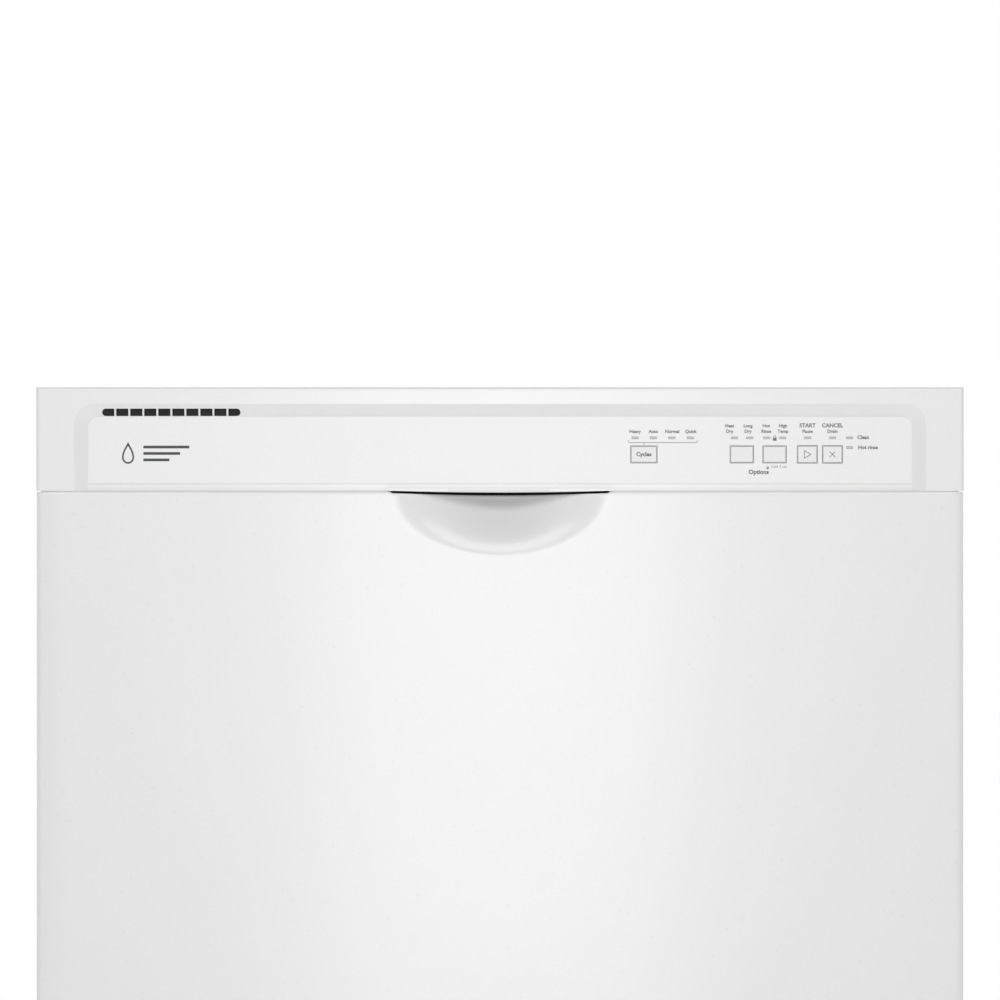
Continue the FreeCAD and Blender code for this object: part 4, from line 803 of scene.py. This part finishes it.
# ------------------------------------------------------------------ tub seal and blanket
def tub_seal():
    """Bulb seal on the tub's flange: a round-topped bead with two fine lips, bent into an arch."""
    low, high = box_mm("tub_gasket")
    half, foot, top, bend = high[0] - 4.0, low[2], high[2] - 4.0, 17.0
    turn = np.linspace(0, np.pi / 2, 9)
    right = np.stack([half - bend + bend * np.cos(turn), top - bend + bend * np.sin(turn)], axis=1)
    upright = np.stack([np.full(12, half), np.linspace(foot, top - bend - 20, 12)], axis=1)
    line = np.concatenate([upright, right])
    line = np.concatenate([line, (line * (-1, 1))[::-1]])
    path = np.column_stack([line[:, 0], np.full(len(line), high[1]), line[:, 1]])
    a = np.linspace(0, np.pi, 13)
    depth = high[1] - low[1]
    bead = np.stack([3.6 * np.cos(a) * (1 + 0.12 * np.cos(6 * a)), depth * np.sin(a) ** 0.8], axis=1)
    seal = build_piece("bulb_seal", [swept(path, bead, (0, -1, 0))], closed=True)
    dress(seal, RUBBER, "chassis", ["tub_gasket"])


def quilted(size, thick, place, pitch=86.0, step=7.0):
    """A stitched pad. Its half thickness is half of thick times an edge, (1 - (2u / size)^14)^0.5 both ways,
    times 0.14 + 0.8 |sin(pi u / pitch) sin(pi v / pitch)|^0.7 for the sewn channels, plus small waves. Its
    sides pull in by 4 at each sewn channel's end. place turns (u, v, w) into (x, y, z). Points are step
    apart."""
    counts = [int(s / step) for s in size]
    u, v = np.meshgrid(*(np.linspace(-1, 1, n) for n in counts), indexing="ij")
    edge = np.sqrt(np.clip(1 - u ** 14, 0, 1) * np.clip(1 - v ** 14, 0, 1))
    pu, pv = u * size[0] / 2, v * size[1] / 2
    cells = [round(s / pitch) * np.pi / 2 for s in size]
    wave_u, wave_v = np.abs(np.sin(cells[0] * (u + 1))), np.abs(np.sin(cells[1] * (v + 1)))
    sewn = (wave_u * wave_v) ** 0.7
    waves = 0.05 * np.sin(pu / 17 + 1.3 * np.sin(pv / 41)) * np.sin(pv / 23 + np.sin(pu / 37))
    half = thick / 2 * edge * np.clip(0.14 + 0.8 * sewn + waves, 0, 1)
    pu = pu - 4.0 * u ** 9 * (1 - wave_v)
    pv = pv - 4.0 * v ** 9 * (1 - wave_u)
    return [grid_of(*place(pu, pv, w)) for w in (half, -half)]


def sound_blanket():
    """Three stitched felt pads: over the tub's roof and down each flank."""
    low, high = box_mm("insulation_blanket")
    middle_y, depth = (low[1] + high[1]) / 2, high[1] - low[1] - 2
    roof_width, roof_z = 522, 851.6                     # the roof pad's width and its middle's height
    flank_x, flank_z, flank_height = 290.9, 512.5, 613  # the flank pads' middles and their height
    roof = quilted((roof_width, depth), 12.2, lambda u, v, w: (u, middle_y + v, roof_z + w))
    pads = [("roof_blanket", roof, ["insulation_blanket"])]
    for side, name in ((1, "right_blanket"), (-1, "left_blanket")):
        place = lambda u, v, w, side=side: (side * (flank_x + w), middle_y + u, flank_z + v)
        pads.append((name, quilted((depth, flank_height), 12.6, place), ()))
    for name, surfaces, stands_for in pads:
        pad = build_piece(name, surfaces, closed=True)
        dress(pad, FELT, "chassis", stands_for)


# ------------------------------------------------------------------ springs, screws, feet and hose
def coil(x, z, start, end, radius, wire, turns):
    """A coil spring along Y. Each point is the coil's point (radius cos a, radius sin a, a x pitch) plus a
    circle of the wire, spanned by the outward direction and Y; the wire tapers to nothing at both ends."""
    a = np.linspace(0, 2 * np.pi * turns, turns * 14 + 1)[:, None]
    b = np.linspace(0, 2 * np.pi, 6, endpoint=False)
    thin = np.full(a.shape, wire)
    thin[0] = thin[-1] = 0.0
    out = radius + thin * np.cos(b)
    y = start + (end - start) * a / a[-1] + thin * np.sin(b)
    points = np.stack([x + out * np.cos(a), y, z + out * np.sin(a)], axis=-1)
    return {"points": points[None], "wrap": (False, True)}


def door_springs():
    """Close-wound counterbalance springs with an eye at each end."""
    low, high = box_mm("door_springs")
    x, z, eye_room, wire = high[0] - 4.6, (low[2] + high[2]) / 2, 8, 0.68
    ends = (low[1] + eye_room, -1), (high[1] - eye_room, 1)
    turn = np.linspace(-0.75 * np.pi, 0.75 * np.pi, 15)
    surfaces = []
    for side in (1, -1):
        surfaces.append(coil(side * x, z, ends[0][0], ends[1][0], 3.9, wire, 84))
        for y, way in ends:
            eye = [np.full(15, side * x), y + way * (4.4 + 3.4 * np.cos(turn)), z + 3.4 * np.sin(turn)]
            surfaces.append(round_bar(np.stack(eye, axis=1), wire, ALONG_X, sides=6))
    springs = build_piece("counterbalance_springs", surfaces)
    dress(springs, SPRING, "chassis", ["door_springs"])


def screw_head(centre, radius, height, way=1):
    """A pan head facing along Y, or against it if way is -1. Its height is a flat dome, 1 - (r / radius)^4 to
    the power 0.5, less a recess within 0.16 radius of the nearer cross line, out to 0.6 radius."""
    r = np.append(np.linspace(0, 0.94, 14), [0.98, 1.0, 1.0, 0.0])[:, None] * radius
    a = np.linspace(0, 2 * np.pi, 32, endpoint=False) + np.pi / 32
    dome = height * np.sqrt(np.clip(1 - (r / radius) ** 4, 0, 1))
    cross = np.minimum(np.abs(r * np.cos(a)), np.abs(r * np.sin(a)))
    recess = (1 - np.clip(cross / (0.16 * radius), 0, 1) ** 4) * np.clip(1 - (r / (0.6 * radius)) ** 4, 0, 1)
    up = dome - 0.6 * height * recess
    up[-2:] = 0.0
    across, rise = r * np.cos(a), r * np.sin(a)
    points = np.stack(np.broadcast_arrays(across, way * up, rise), axis=-1) + np.asarray(centre, float)
    return {"points": points[None], "wrap": (False, True)}


def screws():
    """Cross-head screws round the inner door, on the kick plate and on the worktop tabs."""
    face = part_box("door_screws")[0][1] / MM
    heads = [screw_head((side * 273, face, z), 3.5, 1.8)
             for side in (1, -1) for z in (230, 420, 610, 790)]
    inner = build_piece("inner_door_screws", heads, closed=True)
    dress(inner, ZINC, "door", ["door_screws"])
    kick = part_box("chassis_screws")[0][1] / MM + 2.15
    heads = [screw_head((x, kick, 52), 4.5, 2.1, -1) for x in (-240, 240)]
    heads += [screw_head((x, -245.3, 853), 3.6, 2.6) for x in (-200, 200)]
    outer = build_piece("chassis_screw_heads", heads, closed=True)
    dress(outer, ZINC, "chassis", ["chassis_screws"])


def thread(pitch, depth):
    """Radius factor of a screw thread: a triangular ridge that climbs by pitch each turn."""
    def factor(angle, height):
        """The factor at an angle and a height."""
        phase = (height / pitch - angle / (2 * np.pi)) % 1.0
        return 1.0 - depth * np.abs(2 * phase - 1)
    return factor


def levelling_feet():
    """Four screw feet: a round pad, a hexagon nut and a threaded stem."""
    low, high = box_mm("levelling_feet")
    pad_r, pad_top, nut_top, stem_r = 17.0, 7, 15, 5.0
    nut = [(0, pad_top), (8.2, pad_top), (9.0, 7.8), (9.0, 14.2), (8.2, nut_top), (0, nut_top)]
    z = np.arange(nut_top, high[2], 0.5)
    stem = np.concatenate([[(0, nut_top)], np.column_stack([np.full(len(z), stem_r), z]),
                           [(4.2, high[2]), (0, high[2])]])
    surfaces = []
    for x in (low[0] + pad_r, high[0] - pad_r):
        for y in (low[1] + pad_r, high[1] - pad_r):
            surfaces += [turned((x, y, 0), "z", rounded_disc(pad_r, 0, pad_top, 1.8), 40),
                         turned((x, y, 0), "z", nut, 36, hexagon),
                         turned((x, y, 0), "z", stem, 20, thread(2.5, 0.12))]
    feet = build_piece("threaded_feet", surfaces, closed=True)
    dress(soften(feet, 50), ZINC, "chassis", ["levelling_feet"])


HOSE_Y, HOSE_R, RIB_RISE, RIB_PITCH = 300.4, 10.45, 0.9, 4.4   # radius between the ribs; rise of a rib
HOSE_CLIMBS = [(-190.0, 205.0, 410.0), (-190.0, 440.0, 550.0), (0.0, 330.0, 410.0), (0.0, 440.0, 550.0)]


def hose_ribs():
    """Corrugations on the drain hose's two straight climbs, between its clips: rings whose radius swells at
    every pitch. Each climb is (x, foot, top)."""
    surfaces = []
    for x, low, high in HOSE_CLIMBS:
        z = np.linspace(low, high, int((high - low) / RIB_PITCH) * 6 + 1)
        radius = HOSE_R + RIB_RISE * (0.5 - 0.5 * np.cos((z - low) / RIB_PITCH * 2 * np.pi))
        profile = np.concatenate([[(0, low)], np.column_stack([radius, z]), [(0, high)]])
        surfaces.append(turned((x, HOSE_Y, 0), "z", profile, 20))
    dress(build_piece("drain_hose_ribs", surfaces, closed=True), HOSE, "chassis")


# ------------------------------------------------------------------ spray arms
SUMP_Y = 20.0                                       # the pump well and both arms turn about x 0, y 20
HUB_WIDTH, TIP_WIDTH, OVAL = 26.5, 18.5, 2.6        # half widths of a blade and its oval's power
JET_PLACES, JET_OFFSET = (0.28, 0.45, 0.62, 0.8, 0.93), 6


def spray_blade(radius, z, thick):
    """A hollow-moulded arm: across its length each section is an oval, |y / w|^2.6 + |2z / thick|^2.6 = 1,
    whose half width w falls from the hub to the tip and rounds off at the ends."""
    x = radius * np.sin(np.linspace(-np.pi / 2, np.pi / 2, 81))
    t = np.abs(x) / radius
    w = (HUB_WIDTH + (TIP_WIDTH - HUB_WIDTH) * t ** 1.6) * np.sqrt(np.clip(1 - t ** 16, 0, 1))
    rise = thick / 2 * np.sqrt(np.clip(1 - t ** 24, 0, 1))
    a = np.linspace(0, 2 * np.pi, 28, endpoint=False)
    across, up = (np.sign(c) * np.abs(c) ** (2 / OVAL) for c in (np.cos(a), np.sin(a)))
    surface = grid_of(x[:, None], SUMP_Y + w[:, None] * across, z + thick / 2 + rise[:, None] * up)
    return {"points": surface["points"], "wrap": (False, True)}


def spray_arm(node, radius, z, thick, bore, hub):
    """A spray arm: blade, bored hub and five slotted jets along each half. hub is (radius, foot, top)."""
    hub_r, hub_low, hub_high = hub
    ring = [(bore, hub_low), (hub_r - 1.5, hub_low), (hub_r, hub_low + 1.5), (hub_r, hub_high - 2),
            (hub_r - 2, hub_high), (bore + 2, hub_high), (bore, hub_high - 2), (bore, hub_low)]
    surfaces = [spray_blade(radius, z, thick), turned((0, SUMP_Y, 0), "z", ring, 40)]
    jet = np.array([(0, -2), (4.2, -2), (4.2, 0.6), (3.4, 1.5), (1.8, 1.6), (1.6, -0.4), (0, -0.4)])
    for side in (1, -1):
        for i, share in enumerate(JET_PLACES):
            y = SUMP_Y + side * (JET_OFFSET if i % 2 else -JET_OFFSET)
            surfaces.append(turned((side * share * radius, y, z + thick), "z", jet, 20))
    item = soften(build_piece("shaped_" + node, surfaces, closed=True), 50)
    dress(item, ARM_GREY, node, [node])


# ------------------------------------------------------------------ build
finish_nodes()
add_camera()
add_studio()
door_skin()
console_lip()
print_legends()
print_mark()
print_keys()
lower_rack()
upper_rack()
tub_seal()
sound_blanket()
door_springs()
screws()
levelling_feet()
hose_ribs()
spray_arm("lower_spray_arm", radius=232, z=176, thick=11, bore=8.06, hub=(21, 171, 194))
spray_arm("upper_spray_arm", radius=222, z=481, thick=9, bore=7.06, hub=(18, 476, 494.4))
